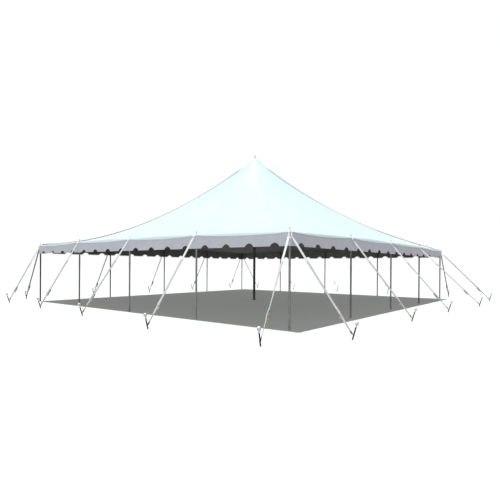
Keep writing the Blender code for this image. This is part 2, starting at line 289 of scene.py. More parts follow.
pole_paint = worn_finish(
    "dark_pole_paint", (0.024, 0.025, 0.026), (0.075, 0.077, 0.08), (6.0, 6.0, 0.60, 0.74),
    (30.0, 3.0, 0.42, 0.60), (260.0, 2.0, 0.0003), {"Specular IOR Level": 0.35}, (9.0, 9.0, 0.8),
    lambda paint, clean: dusted(paint, clean, (0.13, 0.12, 0.10), 0.35),
)
centre_bm = bmesh.new()
add_turned(centre_bm, (
    (0.0, centre_top), (centre_radius - 0.006, centre_top), (centre_radius - 0.002, centre_top - 0.001),
    (centre_radius + 0.0005, centre_top - 0.004), (centre_radius + 0.0005, centre_top - 0.040),
    (centre_radius - 0.0012, centre_top - 0.043), (centre_radius, centre_top - 0.047),
    (centre_radius, 0.034), (centre_radius + 0.003, 0.026), (centre_radius + 0.010, 0.018),
    (centre_radius + 0.017, 0.0125), (centre_foot_radius - 0.003, 0.012),
    (centre_foot_radius, 0.009), (centre_foot_radius, 0.001), (centre_foot_radius - 0.001, 0.0),
    (0.0, 0.0),
), 64)
add_turned(centre_bm, (
    (0.0, centre_pin_top), (0.0060, centre_pin_top - 0.0008), (0.0095, centre_pin_top - 0.005),
    (0.0119, centre_pin_top - 0.012), (centre_pin_radius, centre_pin_top - 0.022),
    (centre_pin_radius, centre_top - 0.002), (0.0, centre_top - 0.002),
), 32)
put_up("centre_pole_tube", centre_bm, (pole_paint,), ("centre_pole",))


# The side poles: sixteen 50 mm aluminium tubes, every 3.048 m round the square. Each has
# a pressed foot, a cap with a rubber spacer, and a steel pin up through the roof's eyelet.
# Three of those in front are bright; three are painted a darker grey and the others near black, as painted
# shade.
half_span = 6.096
bay = 3.048
bays = 4
side_radius = 0.0254
pin_radius = 0.008
corner_sheet_height = 2.24
inner_pole_rise = 0.045
seat_below_sheet = 0.034
pin_above_sheet = 0.09
bright_poles = ("front_3", "front_4", "right_1")
half_shaded_poles = ("front_2", "right_2", "right_3")
outward = {
    "front": Vector((0, -1, 0)), "right": Vector((1, 0, 0)),
    "back": Vector((0, 1, 0)), "left": Vector((-1, 0, 0)),
}


def tube_finish(name, dark, bright, scuffed, metallic):
    """Grey drawn tube with fine lines along it and scuffs; each tone is one grey level."""
    tube = start_finish(name, (dark,) * 3, {"Metallic": metallic, "Specular IOR Level": 0.2})
    draw_lines = mottle(tube, 9.0, 5.0, (42.0, 42.0, 0.7))
    scuffs = between(tube, mottle(tube, 5.0, 7.0, (3.0, 3.0, 1.0)), 0.52, 0.70)
    drawn = tinted(tube, draw_lines, (dark,) * 3, (bright,) * 3)
    return coat(
        tube, dusted(tube, tinted(tube, scuffs, drawn, (scuffed,) * 3), (0.20, 0.19, 0.17), 0.30),
        between(tube, scuffs, 0.0, 1.0, 0.46, 0.66), raised(tube, draw_lines, 0.0004),
    )


bright_tube = tube_finish("drawn_aluminium", 0.35, 0.45, 0.28, 0.75)
# Painted shade: the same tube in a darker grey, and near black, for the poles that stand in shade.
half_shaded_tube = tube_finish("half_shade_aluminium", 0.19, 0.27, 0.15, 0.60)
deep_shaded_tube = tube_finish("deep_shade_aluminium", 0.020, 0.040, 0.015, 0.0)
pin_steel = worn_finish(
    "zinc_plated_pin", (0.50, 0.51, 0.52), (0.22, 0.215, 0.20), (90.0, 4.0, 0.35, 0.7),
    (0.32, 0.58), (420.0, 2.0, 0.0002), {"Metallic": 1.0},
)
spacer_rubber = worn_finish(
    "spacer_rubber", (0.02, 0.02, 0.021), (0.05, 0.05, 0.052), (60.0, 3.0, 0.0, 1.0),
    bumps=(500.0, 3.0, 0.0003), values={"Roughness": 0.75},
)

side_pole_heads = {}
for side, out in outward.items():
    for number in range(bays):
        spot = out * half_span + straight_up.cross(out) * (number * bay - half_span)
        side_pole_heads[f"{side}_{number + 1}"] = spot

for name, spot in side_pole_heads.items():
    pole_bm = bmesh.new()
    at_corner = name.endswith("_1")
    stand = Matrix.Translation(spot)
    sheet_height = corner_sheet_height + (0.0 if at_corner else inner_pole_rise)
    side_seat = sheet_height - seat_below_sheet
    side_pin_top = sheet_height + pin_above_sheet
    spacer_top = sheet_height - (0.012 if at_corner else 0.002)
    add_turned(pole_bm, (
        (0.0, side_seat), (0.017, side_seat), (0.0235, side_seat - 0.0012),
        (0.0262, side_seat - 0.0045), (0.0266, side_seat - 0.009), (0.0266, side_seat - 0.028),
        (side_radius - 0.0006, side_seat - 0.0305), (side_radius, side_seat - 0.034),
        (side_radius, 0.030), (0.0262, 0.0275), (0.0268, 0.023), (0.0330, 0.0195),
        (0.0340, 0.0165), (0.0340, 0.002), (0.0325, 0.0), (0.0, 0.0),
    ), 40, stand)
    add_turned(pole_bm, (
        (pin_radius - 0.001, spacer_top), (0.0150, spacer_top), (0.0165, spacer_top - 0.002),
        (0.0165, spacer_top - 0.007), (0.0150, spacer_top - 0.009), (0.0150, spacer_top - 0.011),
        (0.0180, spacer_top - 0.013), (0.0200, spacer_top - 0.017), (0.0200, side_seat),
        (pin_radius - 0.001, side_seat),
    ), 32, stand, 2)
    add_turned(pole_bm, (
        (0.0, side_pin_top), (0.0028, side_pin_top - 0.0006), (0.0056, side_pin_top - 0.0035),
        (0.0074, side_pin_top - 0.009), (pin_radius, side_pin_top - 0.015),
        (pin_radius, side_seat - 0.002), (0.0, side_seat - 0.002),
    ), 24, stand, 1)
    tube = bright_tube if name in bright_poles else half_shaded_tube if name in half_shaded_poles else deep_shaded_tube
    put_up(f"pole_{name}", pole_bm, (tube, pin_steel, spacer_rubber),
           (f"side_pole_{name}",))


# The roof: one sheet of white vinyl, welded from long panels and stretched from the crown
# of the centre pole down to the side poles. It is drawn from its edge inwards, ring by
# ring, rolls over at the edge, laps down over the valance, and has an eyelet for each pin.
edge_out = 0.06
edge_reach = half_span + edge_out
inner_bay = bay * edge_reach / half_span
eave_roll_width = 0.12
eave_roll_drop = 0.025
eave_slack = 0.045
peak_height = 6.07
crown_radius = 0.10
crown_lift = 0.078
crown_lift_fade = 0.22
roof_curve = 1.27
full_side = 0.05
full_side_angle = math.radians(45)
ridge_heights = (
    (0.7, 0.0), (1.3, 0.025), (1.7, 0.055), (2.4, 0.098), (2.8, 0.127), (3.6, 0.155), (4.4, 0.182),
    (4.85, 0.168), (5.25, 0.130), (5.6, 0.098), (5.76, 0.066), (5.95, 0.0),
)
ridge_reach = 0.36
ridge_hollow = 0.077
roof_thickness = 0.002
slope_length_share = 1.19
wave_repeat = 0.314
weave_bands = 45.0
fold_spacing = 0.62
# Where painted shade lies on the roof: near the near hip, towards the crown, and up from the rolled edge.
hip_shade_angles = (0.15, math.pi / 2)
crown_shade_heights = (3.2, 5.0)
eave_shade_reach = (0.04, 0.36)
eyelet_radius = 0.0112
corner_steps = 6
# The points along half a bay, as shares of the bay; the rings of the lap, as distances out
# and down from the edge; and the sheet's other rings, as distances in from the edge.
half_bay_steps = (
    0.0, 0.010, 0.021, 0.033, 0.047, 0.064, 0.085, 0.112, 0.147, 0.19, 0.24, 0.30, 0.365, 0.43, 0.5,
)
lap_rings = ((0.0045, 0.050), (0.0045, 0.030), (0.0040, 0.015), (0.0025, 0.006))
edge_rings = (
    0.0, 0.006, 0.013, 0.022, 0.033, 0.0425, 0.060, 0.075, 0.092, 0.110, 0.135, 0.165, 0.20, 0.245,
    0.30, 0.36, 0.43, 0.51, 0.60, 0.70, 0.81, 0.93, 1.06, 1.20,
)
slope_rings = tuple(1.36 + 0.16 * step for step in range(25)) + (5.30, 5.42, 5.53, 5.63, 5.72, 5.80)
crown_rings = (5.87, 5.93, 5.98, 6.02, edge_reach - crown_radius, 6.085, 6.12, edge_reach - 0.0142)


def eased(value, low, high):
    share = min(max((value - low) / (high - low), 0.0), 1.0)
    return share * share * (3.0 - 2.0 * share)


def bay_place(along):
    """Where a point of the roof's edge lies in its bay, from 0 at one pole to 1 at the next."""
    reach = min(abs(along), half_span)
    if reach < inner_bay:
        return reach / inner_bay % 1.0
    return (1.0 + (reach - inner_bay) / (half_span - inner_bay)) % 1.0


def roof_height(x, y):
    """Height of the roof's upper face: nearly straight down the middle of each side,
    hollow towards the corners, slack between the poles and rolled over at the edge."""
    out = max(abs(x), abs(y), 0.001)
    share = min(out / edge_reach, 1.0)
    along = (y if abs(x) >= abs(y) else x) * edge_reach / out
    reach = math.hypot(x, y) / out
    side_bias = 1.0 - full_side * math.cos(math.atan2(y, x) - full_side_angle)
    rise = (1.0 - share) ** (roof_curve * reach * side_bias)
    corner_share = min(max((abs(along) - inner_bay) / (half_span - inner_bay), 0.0), 1.0)
    edge = corner_sheet_height + inner_pole_rise * (1.0 - corner_share)
    place = bay_place(along)
    drop = eave_roll_drop + eave_slack * 4.0 * place * (1.0 - place)
    roll = max(0.0, 1.0 - (edge_reach - out) / eave_roll_width) ** 2
    from_crown = max(math.hypot(x, y) - crown_radius, 0.0)
    lifted = edge + (peak_height - edge) * rise + crown_lift * math.exp(-from_crown / crown_lift_fade)
    return min(lifted, peak_height) - drop * roll


def hip_ridge(x, y):
    """The right hip is pulled up into a low ridge, highest two thirds of the way down;
    ridge_heights has its height at each distance out. Higher up the sheet beside it is hollow."""
    out = max(x, y)
    if out <= 0.0 or min(x, y) < -0.2 * out:
        return 0.0
    beside = max(0.0, 1.0 - abs(x - y) / (x + y) / ridge_reach)
    height = 0.0
    for (start, low), (end, high) in zip(ridge_heights, ridge_heights[1:]):
        if start <= out < end:
            height = low + (high - low) * (out - start) / (end - start)
    share = min(x, y) / out
    hollow = ridge_hollow * eased(share, -0.15, 0.35) * (1.0 - eased(share, 0.60, 1.0))
    return height * beside ** 1.1 - hollow * eased(out, 0.2, 0.9) * (1.0 - eased(out, 1.6, 3.6))


def cloth_relief(x, y):
    """What the pulled sheet adds to its plain height: creases at pole heads, pleats at the
    crown, slight waves all over, and the ridge of the right hip."""
    inset = edge_reach - max(abs(x), abs(y))
    if abs(x) >= abs(y):
        head = Vector((math.copysign(half_span, x), round(y / bay) * bay))
        inward = Vector((-head.x, 0.0))
    else:
        head = Vector((round(x / bay) * bay, math.copysign(half_span, y)))
        inward = Vector((0.0, -head.y))
    if abs(abs(head.x) - abs(head.y)) < 0.1:
        inward = -head
    away = Vector((x, y)) - head
    fan = math.atan2(away.y, away.x) - math.atan2(inward.y, inward.x)
    far = away.length
    creases = 0.010 * math.exp(-far / 0.55) * (1.0 - math.exp(-((far / 0.35) ** 2)))
    creases *= math.cos(11.0 * fan) * (1.0 - 0.5 * math.cos(3.0 * fan + head.x))
    round_peak = math.atan2(y, x)
    from_peak = math.hypot(x, y)
    pleats = 0.006 * math.exp(-from_peak / 0.8) * (1.0 - math.exp(-((from_peak / 0.3) ** 2)))
    pleats *= math.cos(22.0 * round_peak + 0.7 * math.sin(3.0 * round_peak))
    ripple = 0.006 * noise.noise((0.55 * x, 0.55 * y, 4.0)) + 0.002 * noise.noise((2.1 * x, 2.1 * y, 9.0))
    settled = eased(inset, 0.10, 0.40) * eased(from_peak, 0.10, 0.45)
    return (creases + pleats + ripple) * settled + hip_ridge(x, y)


def corner_point(angle, sign=1):
    """A point on the round corner of the edge, and the way the edge faces there."""
    facing = Vector((math.sin(angle), -math.cos(angle), 0))
    return Vector((sign * half_span, -half_span, 0)) + facing * edge_out, facing


def edge_outline():
    """Points round the roof's edge with the way each one faces, closest at the poles."""
    steps = list(half_bay_steps) + [1.0 - step for step in reversed(half_bay_steps[1:-1])]
    edge_bays = ((-half_span, -inner_bay), (-inner_bay, 0.0), (0.0, inner_bay), (inner_bay, half_span))
    side_points = []
    for number, (first, last) in enumerate(edge_bays):
        for step in steps:
            if number or step:
                along = first + (last - first) * step
                side_points.append((Vector((along, -edge_reach, 0)), Vector((0, -1, 0))))
    side_points += [corner_point(step * math.pi / 2 / corner_steps) for step in range(corner_steps + 1)]
    turns = [Matrix.Rotation(side * math.pi / 2, 3, "Z") for side in range(4)]
    return [(turn @ point, turn @ facing) for turn in turns for point, facing in side_points]


def roof_point(edge_point, inset):
    """A point of the roof on the line from edge_point to the middle; square rings turn
    round near the crown."""
    out = edge_reach - inset
    flat = edge_point * (out / edge_reach)
    flat = flat.lerp(edge_point.normalized() * out, eased(0.60 - out, 0.0, 0.45))
    return Vector((flat.x, flat.y, roof_height(flat.x, flat.y) + cloth_relief(flat.x, flat.y)))


def draw_rows(bm, count, rows, place, closed=False, capped=False):
    """Draws a row of points and extrudes it row by row; place(number, row) is where each
    point goes. Layers number and row say which is which. Gives the first and last edges."""
    number_mark = bm.verts.layers.int.new("number")
    row_mark = bm.verts.layers.int.new("row")
    verts = [bm.verts.new(place(number, 0)) for number in range(count)]
    for number, vert in enumerate(verts):
        vert[number_mark] = number
    first = [bm.edges.new((verts[i - 1], verts[i])) for i in range(0 if closed else 1, count)]
    edges = first
    if capped:
        bmesh.ops.contextual_create(bm, geom=edges)
    for row in range(1, rows):
        drawn = bmesh.ops.extrude_edge_only(bm, edges=edges)["geom"]
        edges = [item for item in drawn if isinstance(item, bmesh.types.BMEdge)]
        for vert in drawn:
            if isinstance(vert, bmesh.types.BMVert):
                vert[row_mark] = row
                vert.co = place(vert[number_mark], row)
    if capped:
        bmesh.ops.contextual_create(bm, geom=edges)
    return first, edges


def face_out(bm, way):
    """Turns a sheet's faces so that its upper or outer side faces way."""
    bmesh.ops.recalc_face_normals(bm, faces=bm.faces[:])
    if sum(face.normal.dot(way) for face in bm.faces) < 0:
        bmesh.ops.reverse_faces(bm, faces=bm.faces[:])


def thicken(sheet):
    """Gives a sheet its thickness, with its second finish on the inner side."""
    wall = sheet.modifiers.new("thickness", "SOLIDIFY")
    wall.thickness = roof_thickness
    wall.offset = -1.0
    wall.material_offset = 1


def lay_panels(bm):
    """UV in metres: across is along each side of the tent, up is the way up its slope."""
    sheet_uv = bm.loops.layers.uv.new("cloth")
    for face in bm.faces:
        centre = face.calc_center_median()
        for loop in face.loops:
            across, out = loop.vert.co.xy if abs(centre.x) <= abs(centre.y) else loop.vert.co.yx
            loop[sheet_uv].uv = (across, (edge_reach - abs(out)) * slope_length_share)


def stripes(finish, scale, direction, distortion=0.3, **more):
    """Soft stripes, wave_repeat metres apart at a scale of 1 and closer at a higher one."""
    wave = paint_step(finish, "ShaderNodeTexWave", {
        "Vector": surface_point(finish, uv=True), "Scale": scale, "Distortion": distortion, **more,
    }, bands_direction=direction)
    return wave.outputs["Fac"]


def vinyl_weave(finish, under=None):
    """The cloth inside coated vinyl, a thread every 7 mm, faint through the coating."""
    threads = [stripes(finish, weave_bands, direction) for direction in ("X", "Y")]
    return raised(finish, reckon(finish, "MAXIMUM", *threads), 0.0002, under)


def fold_marks(finish, depth, under):
    """Soft lines left by folding the sheet away, in both directions."""
    lines = [between(finish, stripes(finish, wave_repeat / fold_spacing, direction, 0.6, **{
        "Detail": 1.0, "Detail Scale": 0.8,
    }), 0.985, 1.0) for direction in ("X", "Y")]
    return raised(finish, reckon(finish, "MAXIMUM", *lines), depth, under)


def painted_shade_tones(finish, clean):
    """Painted shade on the sheet: cooler and a little darker towards the near hip and the crown,
    and on the front and left slopes, and a painted grey shade where it rolls over at its edge,
    reaching furthest up mid-bay."""
    spot = split_up(finish, surface_point(finish))
    around = reckon(finish, "ARCTAN2", spot["Y"], spot["X"])
    off_near_hip = reckon(finish, "ABSOLUTE", reckon(finish, "ADD", around, math.pi / 4))
    across = reckon(finish, "ADD", spot["X"], spot["Y"])
    # Painted cool shade towards the near hip, the crown, and the front and left slopes.
    cool_shaded = clean
    for share, tone in (
        (between(finish, off_near_hip, *hip_shade_angles, 1.0, 0.0), (0.84, 1.0, 1.0)),
        (between(finish, spot["Z"], *crown_shade_heights), (0.94, 1.0, 1.0)),
        (between(finish, across, 0.5, -0.5), (0.94, 0.99, 1.0)),
    ):
        cool_shaded = tinted(finish, share, cool_shaded, tone, "MULTIPLY")
    # Painted grey shade along the rolled edge, reaching furthest up mid-bay.
    place = split_up(finish, surface_point(finish, uv=True))
    from_pole = reckon(finish, "PINGPONG", place["X"], bay / 2)
    reach = between(finish, from_pole, 0.05, 0.75 * bay / 2, *eave_shade_reach)
    share = between(finish, reckon(finish, "DIVIDE", place["Y"], reach), 0.0, 1.0, 0.9, 0.0)
    dust = tinted(finish, between(finish, place["Y"], -0.002, 0.012),
                  (0.72, 0.74, 0.80), (0.50, 0.51, 0.55))
    return tinted(finish, share, cool_shaded, dust)


def streaked(finish, clean):
    """Rain streaks down the slope, under the painted shade."""
    streaks = between(finish, mottle(finish, 2.2, 5.0, (1.0, 0.10, 1.0), uv=True), 0.50, 0.78)
    return painted_shade_tones(finish, tinted(finish, streaks, clean, (0.75, 0.79, 0.83)))


# The roof's white vinyl, with rain streaks and painted shade laid on it.
roof_vinyl = worn_finish(
    "white_roof_vinyl", (0.785, 0.84, 0.86), (0.82, 0.86, 0.88), (0.9, 4.0, 0.35, 0.65),
    (7.0, 4.0, 0.40, 0.55), None,
    {"Specular IOR Level": 0.35, "Coat Weight": 0.08, "Coat Roughness": 0.35}, soil_and_shade=streaked,
)
coat(roof_vinyl, normal=vinyl_weave(roof_vinyl, fold_marks(
    roof_vinyl, 0.0015, raised(roof_vinyl, mottle(roof_vinyl, 5.0, 3.0), 0.004))))
# The inner side of the roof and the valance is near black, as painted shade.
painted_shade_inside = worn_finish(
    "painted_shade_lining", (0.056, 0.056, 0.055), (0.070, 0.069, 0.066), (3.0, 4.0, 0.35, 0.65),
    (12.0, 3.0, 0.50, 0.65), None, {"Specular IOR Level": 0.25},
)
coat(painted_shade_inside, normal=vinyl_weave(painted_shade_inside))

roof_outline = edge_outline()
roof_insets = edge_rings + slope_rings + crown_rings


def roof_row_point(number, row):
    point, facing = roof_outline[number]
    if row >= len(lap_rings):
        return roof_point(point, roof_insets[row - len(lap_rings)])
    lap_out, lap_down = lap_rings[row]
    return roof_point(point, 0.0) + facing * lap_out - straight_up * lap_down


roof_bm = bmesh.new()
draw_rows(roof_bm, len(roof_outline), len(lap_rings) + len(roof_insets), roof_row_point, closed=True)
face_out(roof_bm, straight_up)
lay_panels(roof_bm)
eyelets = [
    vert for vert in roof_bm.verts
    if any((vert.co.xy - spot.xy).length < 0.002 for spot in side_pole_heads.values())
]
eyelet_faces = bmesh.ops.bevel(
    roof_bm, geom=eyelets, offset=eyelet_radius, offset_type="OFFSET", affect="VERTICES",
    segments=2, profile=0.5, material=-1,
)["faces"]
bmesh.ops.delete(roof_bm, geom=eyelet_faces, context="FACES_ONLY")
roof = put_up("roof_sheet", roof_bm, (roof_vinyl, painted_shade_inside), ("canopy",))
thicken(roof)


# The roof's seams: flat welded bands where the panels overlap, down each slope from the
# crown to the edge, with wider bands over the four hips from the crown to the corners.
seam_lift = 0.0022
seam_thick = 0.0012
seam_half_width = 0.015
seam_places = (0.0, 1.524, 3.048, 4.572)
seam_end_at_hip = 0.06
seam_end_at_crown = 0.16
hip_half_width = 0.025
hip_end_at_crown = 0.25


def on_roof(x, y, lift):
    """A point lifted square off the roof's upper face."""
    step = 0.004
    level = roof_height(x, y) + cloth_relief(x, y)
    slope_x = (roof_height(x + step, y) - roof_height(x - step, y)) / (2 * step)
    slope_y = (roof_height(x, y + step) - roof_height(x, y - step)) / (2 * step)
    return Vector((x, y, level)) + Vector((-slope_x, -slope_y, 1.0)).normalized() * lift


def add_band(bm, line, sideways, places, lift, thick):
    """A flat band on the roof: line is its middle, and places are its points across."""
    part = bmesh.new()
    draw_rows(part, len(line), len(places),
              lambda number, row: on_roof(*(line[number] + sideways * places[row]), lift))
    face_out(part, straight_up)
    lay_panels(part)
    under = bmesh.ops.extrude_face_region(part, geom=part.faces[:], use_keep_orig=True)["geom"]
    for item in under:
        if isinstance(item, bmesh.types.BMVert):
            item.co.z -= thick
    bmesh.ops.recalc_face_normals(part, faces=part.faces[:])
    add_part(bm, part)


def up_slope(rings_left_out, top):
    """Distances out from the middle, from near the edge up to more than top."""
    reaches = [edge_reach - inset for inset in edge_rings[rings_left_out:] + slope_rings]
    return [reach for reach in reaches if reach > top]


def hip_line(side, rings_left_out, top):
    """Points up the middle of a hip, and the way across it."""
    diagonal = (Matrix.Rotation(side * math.pi / 2, 2) @ Vector((1, -1))).normalized()
    line = [diagonal * reach * math.sqrt(2) for reach in up_slope(rings_left_out, top)]
    return line, Vector((-diagonal.y, diagonal.x))


# The seams take the roof's painted shade too.
seam_vinyl = worn_finish(
    "welded_seam_vinyl", (0.775, 0.83, 0.86), (0.82, 0.86, 0.88), (3.0, 4.0, 0.35, 0.7),
    (18.0, 4.0, 0.36, 0.50), None, {"Specular IOR Level": 0.35}, soil_and_shade=painted_shade_tones,
)
coat(seam_vinyl, normal=vinyl_weave(seam_vinyl))

seam_bm = bmesh.new()
for side in range(4):
    turn = Matrix.Rotation(side * math.pi / 2, 2)
    for place in seam_places:
        top = max(place + seam_end_at_hip, seam_end_at_crown)
        for along in sorted({place, -place}):
            line = [turn @ Vector((along, -reach)) for reach in up_slope(4, top + 0.05) + [top]]
            add_band(seam_bm, line, turn @ Vector((1, 0)), (-seam_half_width, seam_half_width),
                     seam_lift, seam_thick)
    line, sideways = hip_line(side, 6, hip_end_at_crown)
    add_band(seam_bm, line, sideways, (-hip_half_width, -0.010, 0.0, 0.010, hip_half_width),
             seam_lift, seam_thick)
put_up("roof_seams", seam_bm, (seam_vinyl,))


# The hip folds: along the two hips that show against the sky, the sheet's edges stand up
# in a thin welt bound with grey tape, a little wavy. The left one is higher and its tape darker.
welt_thick = 0.0016
welt_sway = 0.003
welt_end_at_crown = 0.20
right_welt_height = 0.038
left_welt_height = 0.050


def close_up(part):
    """Joins a drawn tube's seam, fills its ends and faces it outward."""
    bmesh.ops.remove_doubles(part, verts=part.verts[:], dist=1e-5)
    bmesh.ops.holes_fill(part, edges=part.edges[:], sides=10)
    bmesh.ops.recalc_face_normals(part, faces=part.faces[:])


def add_welt(bm, side, height, finish_number):
    """A standing welt along a hip, thin, a little wavy, and lower at its ends."""
    part = bmesh.new()
    line, sideways = hip_line(side, 8, welt_end_at_crown)
    section = (
        (1.0, 0.001), (1.0, 0.5 * height), (1.0, height - 0.002), (0.0, height),
        (-1.0, height - 0.002), (-1.0, 0.5 * height), (-1.0, 0.001), (1.0, 0.001),
    )

    def welt_point(number, row):
        share, lift = section[row]
        sway = welt_sway * math.sin(number * 0.9) * min(lift / height, 1.0)
        spot = line[number] + sideways * (sway + share * welt_thick)
        from_end = min(number, len(line) - 1 - number)
        return on_roof(spot.x, spot.y, lift * min(1.0, 0.35 + from_end / 3.0))

    draw_rows(part, len(line), len(section), welt_point)
    close_up(part)
    lay_panels(part)
    add_part(bm, part, finish_number=finish_number)


def tape_finish(name, clean, worn):
    tape = worn_finish(name, clean, worn, (4.0, 4.0, 0.35, 0.7), (22.0, 3.0, 0.50, 0.65), None,
                       {"Specular IOR Level": 0.2})
    return coat(tape, normal=vinyl_weave(tape))


hip_tape = tape_finish("grey_hip_tape", (0.60, 0.60, 0.62), (0.50, 0.50, 0.52))
darker_tape = tape_finish("darker_hip_tape", (0.49, 0.48, 0.50), (0.40, 0.39, 0.41))
welt_bm = bmesh.new()
add_welt(welt_bm, 1, right_welt_height, 0)
add_welt(welt_bm, 3, left_welt_height, 1)
put_up("roof_hip_folds", welt_bm, (hip_tape, darker_tape))


# The valance: a band of white vinyl that hangs from the roof's edge, with four arched
# notches in each bay and a welded hem along its lower edge. Each side is one piece.
valance_bottom = 1.90
notches_per_bay = 4
notch_spacing = bay / notches_per_bay
notch_width = 0.27
notch_height = 0.085
notch_fullness = 0.35
hem_width = 0.026
valance_rows = 10
# How far to each side of a notch's middle the valance has its points.
notch_steps = (
    0.0, 0.018, 0.036, 0.054, 0.072, 0.088, 0.102, 0.113, 0.121, 0.127, 0.1315, 0.135, 0.15, 0.19,
    0.24, 0.29, 0.34, 0.381,
)
hem_section = ((1.0, 0.0015), (0.5, 0.0020), (0.06, 0.0020), (-0.06, -0.001), (0.06, -0.0040),
               (1.0, -0.0035), (1.0, 0.0015))


def notch_rise(along):
    offset = (along + half_span) % notch_spacing - notch_spacing / 2
    if abs(along) > half_span or abs(offset) >= notch_width / 2:
        return 0.0
    return notch_height * (0.5 * (1.0 + math.cos(2.0 * math.pi * offset / notch_width))) ** notch_fullness


def valance_columns(turn):
    """Places round one side of the edge, from the middle of one corner to the next."""
    places = set()
    for notch in range(bays * notches_per_bay):
        centre = (notch + 0.5) * notch_spacing - half_span
        for step in notch_steps:
            places.update((round(centre + step, 5), round(centre - step, 5)))
    columns = [(along, Vector((along, -edge_reach, 0)), Vector((0, -1, 0))) for along in places]
    for sign in (-1, 1):
        for step in range(1, corner_steps // 2 + 1):
            point, facing = corner_point(sign * step * math.pi / 2 / corner_steps, sign)
            columns.append((sign * (half_span + step * 0.016), point, facing))
    columns.sort(key=lambda column: column[0])
    return [(along, turn @ point, turn @ facing) for along, point, facing in columns]


def valance_point(column, down):
    """A point of the valance; down is 0 at the roof's edge and 1 at the lower edge."""
    along, place, facing = column
    top = roof_height(place.x, place.y) - 0.007
    bottom = valance_bottom + notch_rise(along) + 0.003 * noise.noise((place.x * 0.8, place.y * 0.8, 2.0))
    wave = 0.016 * noise.noise((place.x * 1.3, place.y * 1.3, 7.0 + 0.4 * down))
    wave += 0.005 * noise.noise((place.x * 4.0, place.y * 4.0, 1.0 + 0.4 * down))
    point = place + facing * (wave * down ** 1.4 - 0.0005)
    point.z = top + (bottom - top) * down
    return point


def hem_point(column, share, lift):
    """A point of the hem, share of its width above the lower edge and lift in front of it."""
    along = column[0]
    slant = (notch_rise(along + 0.002) - notch_rise(along - 0.002)) / 0.004
    rise = share * hem_width * math.hypot(1.0, slant)
    return valance_point(column, 1.0) + column[2] * lift + straight_up * rise


valance_vinyl = worn_finish(
    "white_valance_vinyl", (0.80, 0.84, 0.925), (0.75, 0.78, 0.85), (3.2, 5.0, 0.45, 0.75),
    (9.0, 4.0, 0.42, 0.56), None, {"Specular IOR Level": 0.35}, (1.0, 1.0, 0.35),
)
coat(valance_vinyl, normal=vinyl_weave(
    valance_vinyl, raised(valance_vinyl, mottle(valance_vinyl, 6.0, 3.0), 0.003)))
hem_vinyl = worn_finish(
    "valance_hem_vinyl", (0.86, 0.865, 0.89), (0.80, 0.80, 0.82), (8.0, 4.0, 0.4, 0.7),
    (20.0, 3.0, 0.42, 0.56), (160.0, 2.0, 0.0006), {"Specular IOR Level": 0.35},
)

for side_number, (side, out) in enumerate(outward.items()):
    columns = valance_columns(Matrix.Rotation(side_number * math.pi / 2, 3, "Z"))
    valance_bm = bmesh.new()
    draw_rows(valance_bm, len(columns), valance_rows + 1,
              lambda number, row: valance_point(columns[number], row / valance_rows))
    face_out(valance_bm, out)
    cloth_uv = valance_bm.loops.layers.uv.new("cloth")
    number_mark = valance_bm.verts.layers.int["number"]
    for face in valance_bm.faces:
        for loop in face.loops:
            loop[cloth_uv].uv = (columns[loop.vert[number_mark]][0], loop.vert.co.z)
    valance = put_up(f"valance_{side}", valance_bm, (valance_vinyl, painted_shade_inside),
                     ("valance",))
    thicken(valance)

    hem_bm = bmesh.new()
    draw_rows(hem_bm, len(columns), len(hem_section),
              lambda number, row: hem_point(columns[number], *hem_section[row]))
    close_up(hem_bm)
    hem = put_up(f"valance_hem_{side}", hem_bm, (hem_vinyl,))


# The pole heads: a patch of vinyl welded on the roof, a webbing tab sewn over it and down
# over the edge to a D-ring, and a pressed grommet round the pin. A corner has two tabs in
# a V, one for each of its guys, and a band of webbing across them below the edge.
patch_half_width = 0.17
patch_from, patch_to = 0.022, 0.40
patch_lift = 0.0038
patch_thick = 0.0014
tab_width = 0.050
corner_tab_width = 0.030
tab_lift = patch_lift + 0.0018
tab_insets = (0.16, 0.13, 0.10, 0.08, 0.06, 0.04, 0.02, 0.006)
corner_tab_shift = 0.012
cross_band_out = edge_out + 0.0105
cross_band_height = corner_sheet_height - 0.150
cross_band_width = 0.030
cross_band_turn = math.pi / 12.8
webbing_thick = 0.0024
ring_wire = 0.003
wire_sides = 10
ring_outline = (
    (0.006, -0.7), (0.006, 0.7), (0.009, 0.97), (0.014, 1.0), (0.022, 1.0), (0.030, 0.8), (0.036, 0.45),
    (0.037, 0.0), (0.036, -0.45), (0.030, -0.8), (0.022, -1.0), (0.014, -1.0), (0.009, -0.97),
)
# How far beside its pole each guy starts, then how far out from the poles and how far along
# the side its stake stands. Each side's row goes round the tent the way the poles do.
guy_tops = {
    "front": (0.0, -0.04, 0.0, -0.04, 0.0), "right": (0.0, -0.04, -0.12, -0.12, 0.0),
    "back": (0.0, 0.0, 0.0, 0.0, 0.0), "left": (0.0, 0.0, 0.0, 0.0, 0.0),
}
guy_reach = {
    "front": ((1.10, 0.00), (1.30, 0.00), (1.50, 0.00), (1.85, 0.45), (1.83, 0.65)),
    "right": ((1.64, -0.18), (1.64, 0.28), (1.80, 0.30), (2.20, 0.05), (2.05, 0.00)),
    "back": ((1.55, 0.00), (1.40, 0.00), (1.40, 0.00), (1.40, 0.00), (1.58, 0.00)),
    "left": ((1.00, 0.00), (1.24, 0.00), (1.23, 0.00), (1.42, 0.00), (1.27, 0.00)),
}
strap_width = 0.05
guy_top_drop = 0.07
corner_top_drop = 0.12
clearance = 0.0003
half_strap_thick = 0.0015
stake_radius = 0.0127
stake_lean = math.radians(17)
stake_tie_height = 0.085


